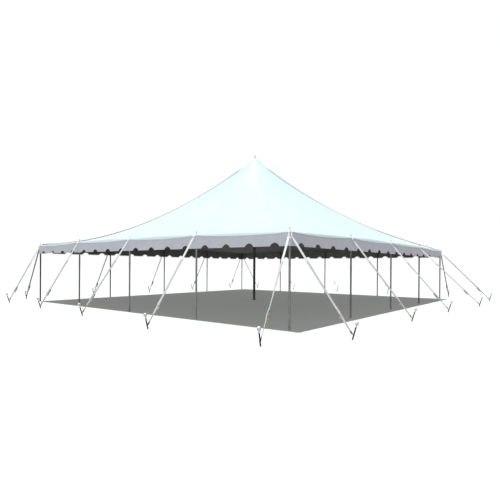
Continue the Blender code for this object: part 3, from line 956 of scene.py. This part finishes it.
def guy_frames():
    """Each guy's own axes at its top, X down the webbing and Z out of its face, with its
    length, its stake's foot, the way the tent's edge faces at its top, and its pole head."""
    frames = {}
    corner_turn = math.pi / 12
    for side, out in outward.items():
        along = straight_up.cross(out)
        for index, (reach, swing) in enumerate(guy_reach[side]):
            place = index * bay - half_span
            foot = out * (half_span + reach) + along * (place + swing)
            head = out * half_span + along * place
            corner = abs(place) == half_span
            if corner:
                facing = Matrix.Rotation(math.copysign(corner_turn, place), 3, "Z") @ out
                flat = edge_out * math.sin(corner_turn)
                top = head + facing * edge_out * math.cos(corner_turn)
                top.z = corner_sheet_height - corner_top_drop
            else:
                facing = out
                flat = bay / 2
                top = head + out * edge_out + along * guy_tops[side][index]
                top.z = corner_sheet_height + inner_pole_rise - guy_top_drop
            pull = foot - top
            pull.z = 0.0
            pull.normalize()
            tie = foot + pull * (stake_tie_height * math.tan(stake_lean)) + straight_up * stake_tie_height
            fall = math.atan2(top.z - tie.z, (tie - top).xy.length)
            touching = min(strap_width / 2, flat / pull.dot(facing))
            off_edge = clearance + half_strap_thick * math.sin(fall) + touching * abs(pull.cross(facing).z)
            start = top + facing * off_edge
            from_axis = stake_radius + clearance + half_strap_thick * math.sin(fall - stake_lean)
            end = tie - pull * (from_axis * math.cos(stake_lean)) + straight_up * (
                from_axis * math.sin(stake_lean))
            run = end - start
            across = straight_up.cross(run).normalized()
            axes = Matrix((run.normalized(), across, run.cross(across).normalized()))
            frames[f"{side}_{index + 1}"] = {
                "place": Matrix.Translation(start) @ axes.transposed().to_4x4(), "length": run.length,
                "foot": foot, "pull": pull, "tie": tie, "facing": facing, "head": head,
                "shift": guy_tops[side][index], "corner": corner,
            }
    return frames


def add_webbing(bm, stations, thick=webbing_thick, finish_number=0):
    """A flat strap through stations of (place, way across, width), closed at both ends."""
    part = bmesh.new()
    strap_uv = part.loops.layers.uv.new("cloth")
    section = ((-0.5, 0.2), (-0.47, 0.5), (0.0, 0.5), (0.47, 0.5), (0.5, 0.2),
               (0.5, -0.2), (0.47, -0.5), (0.0, -0.5), (-0.47, -0.5), (-0.5, -0.2))
    runs = [0.0]
    for (first, _, _), (second, _, _) in zip(stations, stations[1:]):
        runs.append(runs[-1] + (second - first).length)

    def webbing_point(number, row):
        place, across, width = stations[row]
        across = across.normalized()
        before = stations[max(row - 1, 0)][0]
        after = stations[min(row + 1, len(stations) - 1)][0]
        out_of_face = (after - before).normalized().cross(across)
        side_share, face_share = section[number]
        return place + across * (side_share * width) + out_of_face * (face_share * thick)

    draw_rows(part, len(section), len(stations), webbing_point, closed=True, capped=True)
    bmesh.ops.recalc_face_normals(part, faces=part.faces[:])
    number_mark, row_mark = (part.verts.layers.int[name] for name in ("number", "row"))
    for face in part.faces:
        for loop in face.loops:
            row = loop.vert[row_mark]
            side_share = section[loop.vert[number_mark]][0]
            loop[strap_uv].uv = (side_share * stations[row][2], runs[row])
    add_part(bm, part, finish_number=finish_number)


def eased_path(points, steps):
    """Rounds a path of points through a spline, with steps to each stretch."""
    path = []
    for i in range(len(points) - 1):
        before = points[max(i - 1, 0)]
        after = points[min(i + 2, len(points) - 1)]
        start, end = points[i], points[i + 1]
        for step in range(steps):
            t = step / steps
            pull_start = (end - before) * 0.5
            pull_end = (after - start) * 0.5
            path.append(
                start * (2 * t**3 - 3 * t**2 + 1) + pull_start * (t**3 - 2 * t**2 + t)
                + end * (3 * t**2 - 2 * t**3) + pull_end * (t**3 - t**2)
            )
    return path + [points[-1]]


def add_wire_ring(bm, path):
    """A round wire bent into a closed ring along path."""
    part = bmesh.new()
    across = None
    section_ways = []
    for number in range(len(path)):
        along = (path[(number + 1) % len(path)] - path[number - 1]).normalized()
        across = (across - along * across.dot(along)) if across else along.orthogonal()
        across.normalize()
        section_ways.append((across, along.cross(across)))

    def wire_point(number, row):
        angle = number * 2 * math.pi / wire_sides
        first, second = section_ways[row]
        return path[row] + (first * math.cos(angle) + second * math.sin(angle)) * ring_wire

    first_edges, last_edges = draw_rows(part, wire_sides, len(path), wire_point, closed=True)
    bmesh.ops.bridge_loops(part, edges=last_edges + first_edges)
    bmesh.ops.recalc_face_normals(part, faces=part.faces[:])
    add_part(bm, part)


def webbing_finish(name, clean, soiled, soil_reach, edges=None):
    """Woven polyester: chevrons across the strap, fine ribs along it, grey edges if it is
    worn, and mud low down."""
    finish = start_finish(name, clean, {"Roughness": 0.8, "Sheen Weight": 0.15, "Specular IOR Level": 0.2})
    ribs = reckon(finish, "MULTIPLY", stripes(finish, 60.0, "X", 0.2), 0.6)
    woven = reckon(finish, "ADD", stripes(finish, 95.0, "DIAGONAL", 0.4), ribs)
    shaded = tinted(finish, between(finish, woven, 0.0, 1.6), [0.86 * part for part in clean], clean)
    if edges:
        off_middle = reckon(finish, "ABSOLUTE", split_up(finish, surface_point(finish, uv=True))["X"])
        shaded = tinted(finish, between(finish, off_middle, 0.0175, 0.0215), shaded, edges)
    return coat(finish, dusted(finish, shaded, soiled, soil_reach),
                normal=raised(finish, woven, 0.0006))


# The tabs glow a little, painted light, so they stay white on the valance's shaded face.
glowing_tab_webbing = webbing_finish("painted_glow_tab_webbing", (0.94, 0.95, 0.96), (0.50, 0.47, 0.42), 0.5)
tab_glow_shader = glowing_tab_webbing.node_tree.nodes["Principled BSDF"]
tab_glow_shader.inputs["Emission Color"].default_value = (1.0, 1.0, 1.0, 1.0)
tab_glow_shader.inputs["Emission Strength"].default_value = 0.35
fitting_steel = worn_finish(
    "galvanised_fitting", (0.42, 0.43, 0.44), (0.24, 0.235, 0.225), (130.0, 4.0, 0.35, 0.7),
    (80.0, 3.0, 0.34, 0.55), (350.0, 2.0, 0.0002), {"Metallic": 1.0},
)

guys = guy_frames()
head_bm = bmesh.new()
tab_bm = bmesh.new()
ring_bm = bmesh.new()
for name, spot in side_pole_heads.items():
    out = outward[name.split("_")[0]]
    along = straight_up.cross(out)
    if name.endswith("_1"):
        inward = (along - out).normalized()
        line = [(spot + inward * (0.03 * step)).xy for step in range(-1, 15)]
        for sign in (-1, 1):
            add_band(head_bm, line, straight_up.cross(inward).xy,
                     [sign * 0.014 * step for step in range(8)], patch_lift, patch_thick)
    else:
        insets = [inset for inset in edge_rings if patch_from < inset < patch_to]
        line = [(spot + out * (edge_out - inset)).xy for inset in [patch_from, *insets, patch_to]]
        add_band(head_bm, line, along.xy, [patch_half_width * step / 6 for step in range(-6, 7)],
                 patch_lift, patch_thick)
    on_head = on_roof(spot.x, spot.y, 0.0)
    upright = (on_roof(spot.x, spot.y, 0.01) - on_head).normalized()
    seat = Matrix.Translation(on_head) @ straight_up.rotation_difference(upright).to_matrix().to_4x4()
    add_turned(ring_bm, (
        (0.0094, 0.0085), (0.0120, 0.0092), (0.0165, 0.0088), (0.0205, 0.0072), (0.0215, 0.0060),
        (0.0205, 0.0054), (0.0110, 0.0052), (0.0094, 0.0050), (0.0094, -0.0045), (0.0088, -0.0045),
        (0.0088, 0.0080), (0.0094, 0.0085),
    ), 28, seat)

for name, guy in guys.items():
    out = guy["facing"]
    along = straight_up.cross(out)
    width = corner_tab_width if guy["corner"] else tab_width
    insets = [inset - corner_tab_shift for inset in tab_insets[2:]] if guy["corner"] else tab_insets
    edge = guy["head"] + along * guy["shift"] + out * edge_out
    edge_top = Vector((edge.x, edge.y, roof_height(edge.x, edge.y)))
    stations = [on_roof(*(edge - out * inset).xy, tab_lift) for inset in insets]
    for lift, drop in ((0.0070, 0.001), (0.0088, 0.008), (0.0088, 0.018), (0.0084, 0.030)):
        stations.append(edge_top + out * lift - straight_up * drop)
    ring_top = guy["place"] @ Vector((0.006, 0, 0.0035))
    for lift, rise in ((0.003, 0.022), (0.0052, 0.0), (0.0, -0.0052), (-0.0040, 0.0), (-0.0012, 0.024)):
        stations.append(ring_top + out * lift + straight_up * rise)
    add_webbing(tab_bm, [(place, along, width) for place in eased_path(stations, 2)])
    ring_half_width = max(0.5 * (width if guy["corner"] else strap_width) + 0.003, 0.029)
    add_wire_ring(ring_bm, [
        guy["place"] @ Vector((x, y * ring_half_width, 0.0035 if x < 0.02 else 0.0010))
        for x, y in ring_outline
    ])
    if guy["corner"] and name.endswith("_1"):
        band = []
        for step in range(-4, 5):
            facing = Matrix.Rotation(step * cross_band_turn, 3, "Z") @ guy["head"].normalized()
            spot = guy["head"] + facing * cross_band_out
            spot.z = cross_band_height
            band.append((spot, straight_up, cross_band_width))
        add_webbing(tab_bm, band)

put_up("pole_head_patches", head_bm, (seam_vinyl,))
put_up("pole_head_tabs", tab_bm, (glowing_tab_webbing,))
put_up("pole_head_rings", ring_bm, (fitting_steel,))


# The guys' webbing: a short clean strap from the D-ring to a joining ring, the long worn
# strap from there to the ratchet, wound up on its spindle, and a soiled strap from the
# ratchet's bolt to a loop round the stake. Their ends are folded back and stitched.
joint_share = 0.29
joint_bar = 0.012
bar_wrap = 0.0043
ratchet_share = 0.78
spindle_x, spindle_depth = -0.045, 0.008
bolt_x, bolt_depth = 0.078, 0.003
coil_turns = 2.4
coil_steps = 14
stitched = 0.14
folded_back = 0.09
woven_width = strap_width - 0.002
tail_width = strap_width - 0.005
tail_thick = 0.0022
lower_narrowing = 0.016
loop_start = 0.045
loop_overlap = 0.055
loop_widths = (0.034, 0.028, 0.024)
loop_thick = 0.0020
loop_wrap = 200
loop_steps = 12
# Most straps are turned about their length, in degrees at the joining ring and the ratchet.
guy_twist = {
    "front": ((-40, -40), (-40, -40), (-40, -38), (-25, -25), (0, 45)),
    "right": ((32, 34), (46, 46), (46, 46), (46, 46), (-42, -50)),
    "back": ((0, 0), (60, 62), (56, 57), (50, 50), (0, 0)),
    "left": ((0, 0), (0, 8), (0, -6), (0, 0), (0, 5)),
}

strap_finishes = (
    webbing_finish("white_webbing", (0.84, 0.85, 0.86), (0.50, 0.47, 0.42), 0.5),
    webbing_finish("worn_webbing", (0.64, 0.64, 0.635), (0.48, 0.46, 0.42), 0.5, (0.34, 0.34, 0.34)),
    webbing_finish("soiled_webbing", (0.48, 0.465, 0.44), (0.34, 0.32, 0.28), 0.35, (0.30, 0.29, 0.28)),
    webbing_finish("dark_loop_webbing", (0.10, 0.09, 0.08), (0.07, 0.06, 0.05), 0.2),
    # Painted shade for the strap faces that look down.
    webbing_finish("painted_shade_webbing", (0.26, 0.26, 0.26), (0.20, 0.19, 0.17), 0.5),
)
clean_strap, worn_strap, soiled_strap, dark_loop_strap, shaded_underside = range(len(strap_finishes))


def local_path(points, from_x=0.0):
    return [Vector((from_x + x, 0.0, z)) for x, z in points]


def round_about(x, z, radius, start, step_angle, steps):
    """Points round a bar at x and z, the angle going on from start by step_angle each time."""
    angles = [start + step * step_angle for step in steps]
    return [Vector((x + radius * math.cos(a), 0.0, z + radius * math.sin(a))) for a in angles]


def round_bar(bar_x, way):
    """Over a bar of the joining ring and back underneath, for a strap that comes along way."""
    turn = [(-0.030, 0.0), (-0.010, 0.0)]
    for step in range(7):
        angle = math.pi / 2 - step * math.pi / 6
        turn.append((bar_wrap * math.cos(angle), bar_wrap * (math.sin(angle) - 1.0)))
    turn += [(-0.012, -0.0078), (-0.030, -0.0046), (-0.050, -0.0029), (-folded_back, -0.0028)]
    return local_path([(way * x, z) for x, z in turn], bar_x)


def twist_at(name, x):
    """The turn of a strap about its own length at x."""
    side, number = name.split("_")
    at_ring, at_ratchet = guy_twist[side][int(number) - 1]
    length = guys[name]["length"]
    at_top = at_ring * eased(x, 0.04, 0.22)
    run = eased(x, length * joint_share + 0.1, length * ratchet_share - 0.2)
    return Matrix.Rotation(math.radians(at_top + (at_ratchet - at_ring) * run), 4, "X")


def lay_strap(bm, name, path, width=woven_width, thick=webbing_thick, finish_number=0):
    """Webbing along a path given in the guy's own axes, twisted as the guy is."""
    stations = []
    for number, point in enumerate(path):
        turn = guys[name]["place"] @ twist_at(name, point.x)
        wide = width[number] if isinstance(width, list) else width
        stations.append((turn @ point, turn.to_3x3() @ Vector((0, 1, 0)), wide))
    add_webbing(bm, stations, thick, finish_number)


def upper_path(joint_x):
    """Down from a stitched fold, round the D-ring, and on to the joining ring."""
    path = local_path(((0.040 + stitched, 0.0030), (0.12, 0.0030), (0.060, 0.0034), (0.042, 0.0050)))
    path += round_about(0.037, 0.0010, 0.0047, math.pi / 2, math.pi / 6, range(1, 6))
    path += local_path((
        (0.045, -0.0030), (0.065, -0.0006), (0.10, 0.0002), (0.14, 0.0), (0.18, 0.0), (0.22, 0.0),
        (0.5 * joint_x + 0.1, 0.0),
    ))
    return path + round_bar(joint_x - joint_bar, 1)


def main_path(joint_x, ratchet_x):
    """From the joining ring down to the ratchet, and wound up on its spindle."""
    path = round_bar(joint_x + joint_bar, -1)[::-1]
    path += local_path([((ratchet_x - joint_x) * step / 9, 0.0) for step in range(1, 8)], joint_x)
    path += local_path(((-0.16, 0.0), (-0.12, 0.001)), ratchet_x)
    for step in range(int(coil_turns * coil_steps) + 1):
        path += round_about(ratchet_x + spindle_x, -spindle_depth, 0.0170 - 0.0026 * step / coil_steps,
                            math.pi / 2, -2 * math.pi / coil_steps, (step,))
    return path


def tail_path(ratchet_x):
    """The main strap's loose end, which lies over the ratchet and on down the guy."""
    return eased_path(local_path((
        (-0.20, 0.0027), (-0.15, 0.0028), (-0.11, 0.0062), (-0.075, 0.0118), (-0.045, 0.0136),
        (0.0, 0.0144), (0.035, 0.0144), (0.066, 0.0140), (0.10, 0.0088), (0.14, 0.0040),
        (0.18, 0.0028), (0.30, 0.0027),
    ), ratchet_x), 2)


def lower_path(from_bolt, end_x):
    """Down from a stitched fold, round the ratchet's bolt, and on to the stake's loop."""
    path = local_path((
        (0.030 + stitched * 0.7, -0.0030), (0.06, -0.0030), (0.022, -0.0050), (0.008, -0.0088),
    ), from_bolt)
    path += round_about(from_bolt, -bolt_depth, 0.0078, -math.pi / 2, -math.pi / 5, range(1, 5))
    path += local_path(((0.008, 0.0046), (0.030, 0.0008), (0.075, 0.0)), from_bolt)
    return path + local_path([((end_x - from_bolt) * share, 0.0) for share in (0.45, 0.7, 1.0)], from_bolt)


def loop_stations(name, end_x):
    """Two layers that turn on edge, go round the stake below its collar, and come back."""
    guy = guys[name]
    axis = straight_up * math.cos(stake_lean) + guy["pull"] * math.sin(stake_lean)
    toward = guy["place"].translation - guy["tie"]
    toward = (toward - axis * toward.dot(axis)).normalized()
    sideways = axis.cross(toward)
    at_loop = guy["place"] @ twist_at(name, end_x)
    across = at_loop.to_3x3() @ Vector((0, 1, 0))
    turned = across.lerp(-axis, 0.5)
    neck_x = guy["length"] - 0.022
    loop_radius = stake_radius + 0.0024
    flat_width, neck_width, round_width = loop_widths
    stations = [
        (at_loop @ Vector((end_x - loop_overlap, 0.0, 0.0026)), across, flat_width),
        (at_loop @ Vector((end_x, 0.0, 0.0030)), across, flat_width),
        (guy["place"] @ Vector((neck_x, 0.006, 0.0025)), turned, neck_width),
    ]
    for step in range(loop_steps + 1):
        angle = math.radians(step * loop_wrap / loop_steps - loop_wrap / 2) + math.pi
        round_stake = toward * math.cos(angle) + sideways * math.sin(angle)
        stations.append((guy["tie"] + round_stake * loop_radius, -axis, round_width))
    return stations + [
        (guy["place"] @ Vector((neck_x, -0.006, -0.0025)), turned, neck_width),
        (at_loop @ Vector((end_x, 0.0, -0.0028)), across, flat_width),
        (at_loop @ Vector((end_x - loop_overlap, 0.0, -0.0026)), across, flat_width),
    ]


joint_bm = bmesh.new()
for name, guy in guys.items():
    guy_bm = bmesh.new()
    joint_x = guy["length"] * joint_share
    ratchet_x = guy["length"] * ratchet_share
    from_bolt = ratchet_x + bolt_x
    end_x = guy["length"] - loop_start
    lay_strap(guy_bm, name, upper_path(joint_x), finish_number=clean_strap)
    at_joint = guy["place"] @ twist_at(name, joint_x)
    add_wire_ring(joint_bm, [
        at_joint @ Vector((joint_x + x * joint_bar, y * 0.030, -bar_wrap))
        for x, y in ((-1.0, -0.9), (-1.0, 0.9), (-0.8, 1.0), (0.8, 1.0), (1.0, 0.9), (1.0, -0.9),
                     (0.8, -1.0), (-0.8, -1.0))
    ])
    lay_strap(guy_bm, name, main_path(joint_x, ratchet_x), finish_number=worn_strap)
    lay_strap(guy_bm, name, tail_path(ratchet_x), tail_width, tail_thick, worn_strap)
    lower = lower_path(from_bolt, end_x)
    widths = [woven_width - lower_narrowing * eased(point.x - from_bolt, 0.01, 0.16) for point in lower]
    lay_strap(guy_bm, name, lower, widths, finish_number=soiled_strap)
    # The loop round the stake is near black.
    add_webbing(guy_bm, loop_stations(name, end_x), loop_thick, dark_loop_strap)
    guy_bm.normal_update()
    # Faces turned down under each strap take the grey finish: painted shade.
    to_guy = guy["place"].inverted()
    for face in guy_bm.faces:
        turn = guy["place"] @ twist_at(name, (to_guy @ face.calc_center_median()).x)
        if face.material_index != dark_loop_strap and face.normal.dot(turn.to_3x3() @ -straight_up) > 0.2:
            face.material_index = shaded_underside
    strap = put_up(f"strap_{name}", guy_bm, strap_finishes, (f"guy_{name}",))
    strap.visible_shadow = False
put_up("guy_joining_rings", joint_bm, (fitting_steel,))


# The ratchets: a pressed zinc-plated frame with toothed wheels on a slotted spindle, a
# fixed bolt, a spring pawl, and a long handle closed over it with a round grip. Each is
# drawn lying on its base and then turned over, as it hangs under its guy.
plate_y = 0.0290
teeth = 13
# Two near ratchets have yellow handles, three far ones are new and pale, the others dull.
bright_ratchets = ("front_5", "right_1")
new_ratchets = ("back_2", "back_3", "back_4")


def zinc_plate(name, pale, yellow, metallic=0.7):
    return worn_finish(
        name, pale, yellow, (26.0, 4.0, 0.38, 0.62), (60.0, 4.0, 0.42, 0.62), (240.0, 3.0, 0.0003),
        {"Metallic": metallic}, soil_and_shade=lambda zinc, clean: dusted(zinc, clean, (0.2, 0.18, 0.15), 0.2),
    )


grey_zinc = zinc_plate("grey_zinc_plate", (0.60, 0.60, 0.58), (0.52, 0.50, 0.44))
yellow_zinc = zinc_plate("yellow_zinc_plate", (0.52, 0.46, 0.34), (0.44, 0.32, 0.13))
dull_zinc = zinc_plate("dull_zinc_plate", (0.52, 0.515, 0.50), (0.42, 0.40, 0.35), 0.5)
new_zinc = zinc_plate("new_zinc_plate", (0.86, 0.86, 0.85), (0.80, 0.80, 0.77), 0.1)
dark_steel = worn_finish(
    "oiled_dark_steel", (0.12, 0.12, 0.12), (0.16, 0.10, 0.06), (90.0, 4.0, 0.4, 0.65),
    (70.0, 3.0, 0.35, 0.6), (300.0, 2.0, 0.0003), {"Metallic": 0.9},
)


def add_plate(bm, outline, near, far, finish_number=0, chamfer=0.0005):
    """A flat plate: an outline in X and Z, from Y near to Y far, with softened edges."""
    part = bmesh.new()
    face = part.faces.new([part.verts.new((x, near, z)) for x, z in outline])
    for item in bmesh.ops.extrude_face_region(part, geom=[face])["geom"]:
        if isinstance(item, bmesh.types.BMVert):
            item.co.y = far
    bmesh.ops.recalc_face_normals(part, faces=part.faces[:])
    if chamfer:
        bmesh.ops.bevel(part, geom=part.edges[:], offset=chamfer, affect="EDGES", segments=1,
                        profile=0.5, material=-1, clamp_overlap=True)
    add_part(bm, part, finish_number=finish_number)


def along_y(x, z, y=0.0, way=1):
    """Lays a turned shape's axis along Y at this place, its top on the side way is."""
    return (Matrix.Translation((x, y, z)) @ Matrix.Rotation(-math.pi / 2, 4, "X")
            @ Matrix.Rotation(0.0 if way > 0 else math.pi, 4, "X"))


frame_outline = (
    (-0.074, -0.004), (-0.066, -0.012), (0.080, -0.012), (0.090, -0.006), (0.091, 0.006),
    (0.084, 0.013), (0.030, 0.014), (0.000, 0.016), (-0.030, 0.026), (-0.050, 0.028), (-0.068, 0.020),
)
handle_outline = (
    (-0.066, 0.004), (-0.058, -0.004), (-0.040, -0.005), (-0.026, 0.004), (0.010, 0.016), (0.125, 0.018),
    (0.138, 0.026), (0.132, 0.036), (0.116, 0.036), (0.000, 0.034), (-0.030, 0.033), (-0.055, 0.026),
    (-0.067, 0.014),
)
wheel_outline = []
for tooth in range(teeth):
    for turn_share, radius in ((0.0, 0.0215), (0.30, 0.0205), (0.34, 0.0165), (0.9, 0.0165)):
        angle = (tooth + turn_share) * 2 * math.pi / teeth
        wheel_outline.append((spindle_x + radius * math.cos(angle), spindle_depth + radius * math.sin(angle)))
half_round = [(0.0075 * math.cos(a * math.pi / 8), 0.0012 + 0.0065 * math.sin(a * math.pi / 8))
              for a in range(9)]

ratchet_bm = bmesh.new()
for sign in (-1, 1):
    for outline, inner, outer, finish_number, chamfer in (
        (frame_outline, -0.0025, 0.0, 0, 0.0005), (wheel_outline, 0.0005, 0.0032, 1, 0.0),
        (handle_outline, 0.0038, 0.0062, 2, 0.0005),
    ):
        near, far = sorted((sign * (plate_y + inner), sign * (plate_y + outer)))
        add_plate(ratchet_bm, outline, near, far, finish_number, chamfer)
    add_turned(ratchet_bm, ((0.0, 0.006), (0.0070, 0.006), (0.0085, 0.0045), (0.0085, 0.0), (0.0, 0.0)), 6,
               along_y(bolt_x, bolt_depth, sign * plate_y, sign), 1)
    add_turned(ratchet_bm, ((0.0, 0.004), (0.0080, 0.004), (0.0100, 0.002), (0.0100, 0.0), (0.0, 0.0)), 20,
               along_y(spindle_x, spindle_depth, sign * (plate_y + 0.006), sign), 1)
    add_plate(ratchet_bm, [(spindle_x + x, spindle_depth + sign * z) for x, z in half_round],
              -0.036, 0.036, 1, 0.0)
add_plate(ratchet_bm, ((-0.012, -0.012), (0.060, -0.012), (0.060, -0.0098), (-0.012, -0.0098)),
          -plate_y, plate_y)
add_plate(ratchet_bm, ((0.030, 0.0318), (0.118, 0.0338), (0.118, 0.0360), (0.030, 0.0340)),
          -plate_y - 0.005, plate_y + 0.005, 2)
add_plate(ratchet_bm, ((-0.012, 0.018), (0.004, 0.010), (0.060, 0.022), (0.060, 0.0245), (0.004, 0.0135),
                       (-0.012, 0.0205)), -0.034, 0.034, 1)
add_turned(ratchet_bm, ((0.0, 0.036), (0.0062, 0.036), (0.0062, -0.036), (0.0, -0.036)), 16,
           along_y(bolt_x, bolt_depth), 1)
grip_half = ((0.0, 0.046), (0.0090, 0.046), (0.0108, 0.0445), (0.0112, 0.042), (0.0112, 0.036),
             (0.0102, 0.034))
grip = grip_half + tuple((radius, -height) for radius, height in reversed(grip_half))
add_turned(ratchet_bm, grip, 24, along_y(0.140, 0.0295), 2)
ratchet_mesh = bpy.data.meshes.new("ratchet_pattern")
ratchet_bm.to_mesh(ratchet_mesh)
ratchet_bm.free()
for name, guy in guys.items():
    copy_bm = bmesh.new()
    copy_bm.from_mesh(ratchet_mesh)
    turned_over = Matrix.Rotation(math.pi, 4, "X")
    copy_bm.transform(guy["place"] @ Matrix.Translation((guy["length"] * ratchet_share, 0, 0))
                      @ turned_over @ twist_at(name, guy["length"]))
    plating = (dull_zinc, dark_steel, dull_zinc)
    if name in bright_ratchets:
        plating = (grey_zinc, dark_steel, yellow_zinc)
    elif name in new_ratchets:
        plating = (new_zinc,) * 3
    ratchet = put_up(f"ratchet_{name}", copy_bm, plating, (f"guy_{name}",))
    ratchet.visible_shadow = False
bpy.data.meshes.remove(ratchet_mesh)


# The stakes: forged steel rods with a neck and a collar that keeps the loop down, hammered
# into the ground so that they lean away from the tent. A white plastic cap, pushed on after
# the hammering, covers each head. Cap and collar are drawn from the head down.
stake_height = 0.33
head_reach = stake_height / math.cos(stake_lean)
collar_bottom = 0.083
rod_radius = stake_radius + 0.0020
cap_profile = (
    (0.0, 0.044), (0.012, 0.0430), (0.023, 0.038), (0.0310, 0.029), (0.0345, 0.017), (0.0360, 0.002),
    (0.0365, -0.028), (0.0355, -0.030), (0.0330, -0.030), (0.0318, -0.026), (0.0, -0.026),
)
collar_profile = (
    (0.0, -0.026), (0.0180, -0.026), (0.0180, -0.036), (0.0125, -0.041), (0.0125, -0.056),
    (0.0160, -0.061), (0.0236, -0.065), (0.0242, -0.068), (0.0242, -0.078), (0.0205, -collar_bottom),
    (0.0, -collar_bottom),
)
rod_profile = (
    (0.0, head_reach - collar_bottom), (rod_radius, head_reach - collar_bottom), (rod_radius, 0.12),
    (rod_radius, 0.02), (rod_radius, -0.04), (0.0, -0.04),
)
stake_steel = worn_finish(
    "rusty_stake_steel", (0.010, 0.009, 0.008), (0.026, 0.018, 0.013), (40.0, 6.0, 0.42, 0.62),
    (0.55, 0.8), (220.0, 4.0, 0.0008), {"Specular IOR Level": 0.2},
    soil_and_shade=lambda steel, clean: dusted(steel, clean, (0.012, 0.010, 0.008), 0.12),
)
forged_steel = worn_finish(
    "forged_stake_collar", (0.62, 0.62, 0.62), (0.44, 0.43, 0.41), (70.0, 4.0, 0.40, 0.68),
    (50.0, 3.0, 0.28, 0.5), (110.0, 3.0, 0.0010), {"Metallic": 0.3},
)
cap_plastic = worn_finish(
    "white_cap_plastic", (0.88, 0.88, 0.87), (0.72, 0.71, 0.68), (45.0, 5.0, 0.45, 0.75),
    (60.0, 3.0, 0.38, 0.6), (200.0, 3.0, 0.0004), {"Specular IOR Level": 0.4},
)
for name, guy in guys.items():
    stake_bm = bmesh.new()
    heading = math.atan2(guy["pull"].y, guy["pull"].x)
    stand = (Matrix.Translation(guy["foot"]) @ Matrix.Rotation(heading, 4, "Z")
             @ Matrix.Rotation(stake_lean, 4, "Y"))
    at_head = stand @ Matrix.Translation((0, 0, head_reach))
    add_turned(stake_bm, cap_profile, 28, at_head, 2)
    add_turned(stake_bm, collar_profile, 28, at_head, 1)
    add_turned(stake_bm, rod_profile, 28, stand)
    cut = bmesh.ops.bisect_plane(
        stake_bm, geom=stake_bm.verts[:] + stake_bm.edges[:] + stake_bm.faces[:],
        plane_co=(0, 0, 0.0002), plane_no=(0, 0, 1), clear_inner=True,
    )["geom_cut"]
    bmesh.ops.contextual_create(stake_bm, geom=[item for item in cut if isinstance(item, bmesh.types.BMEdge)])
    stake = put_up(f"stake_rod_{name}", stake_bm, (stake_steel, forged_steel, cap_plastic),
                   (f"stake_{name}",))
    stake.visible_shadow = False
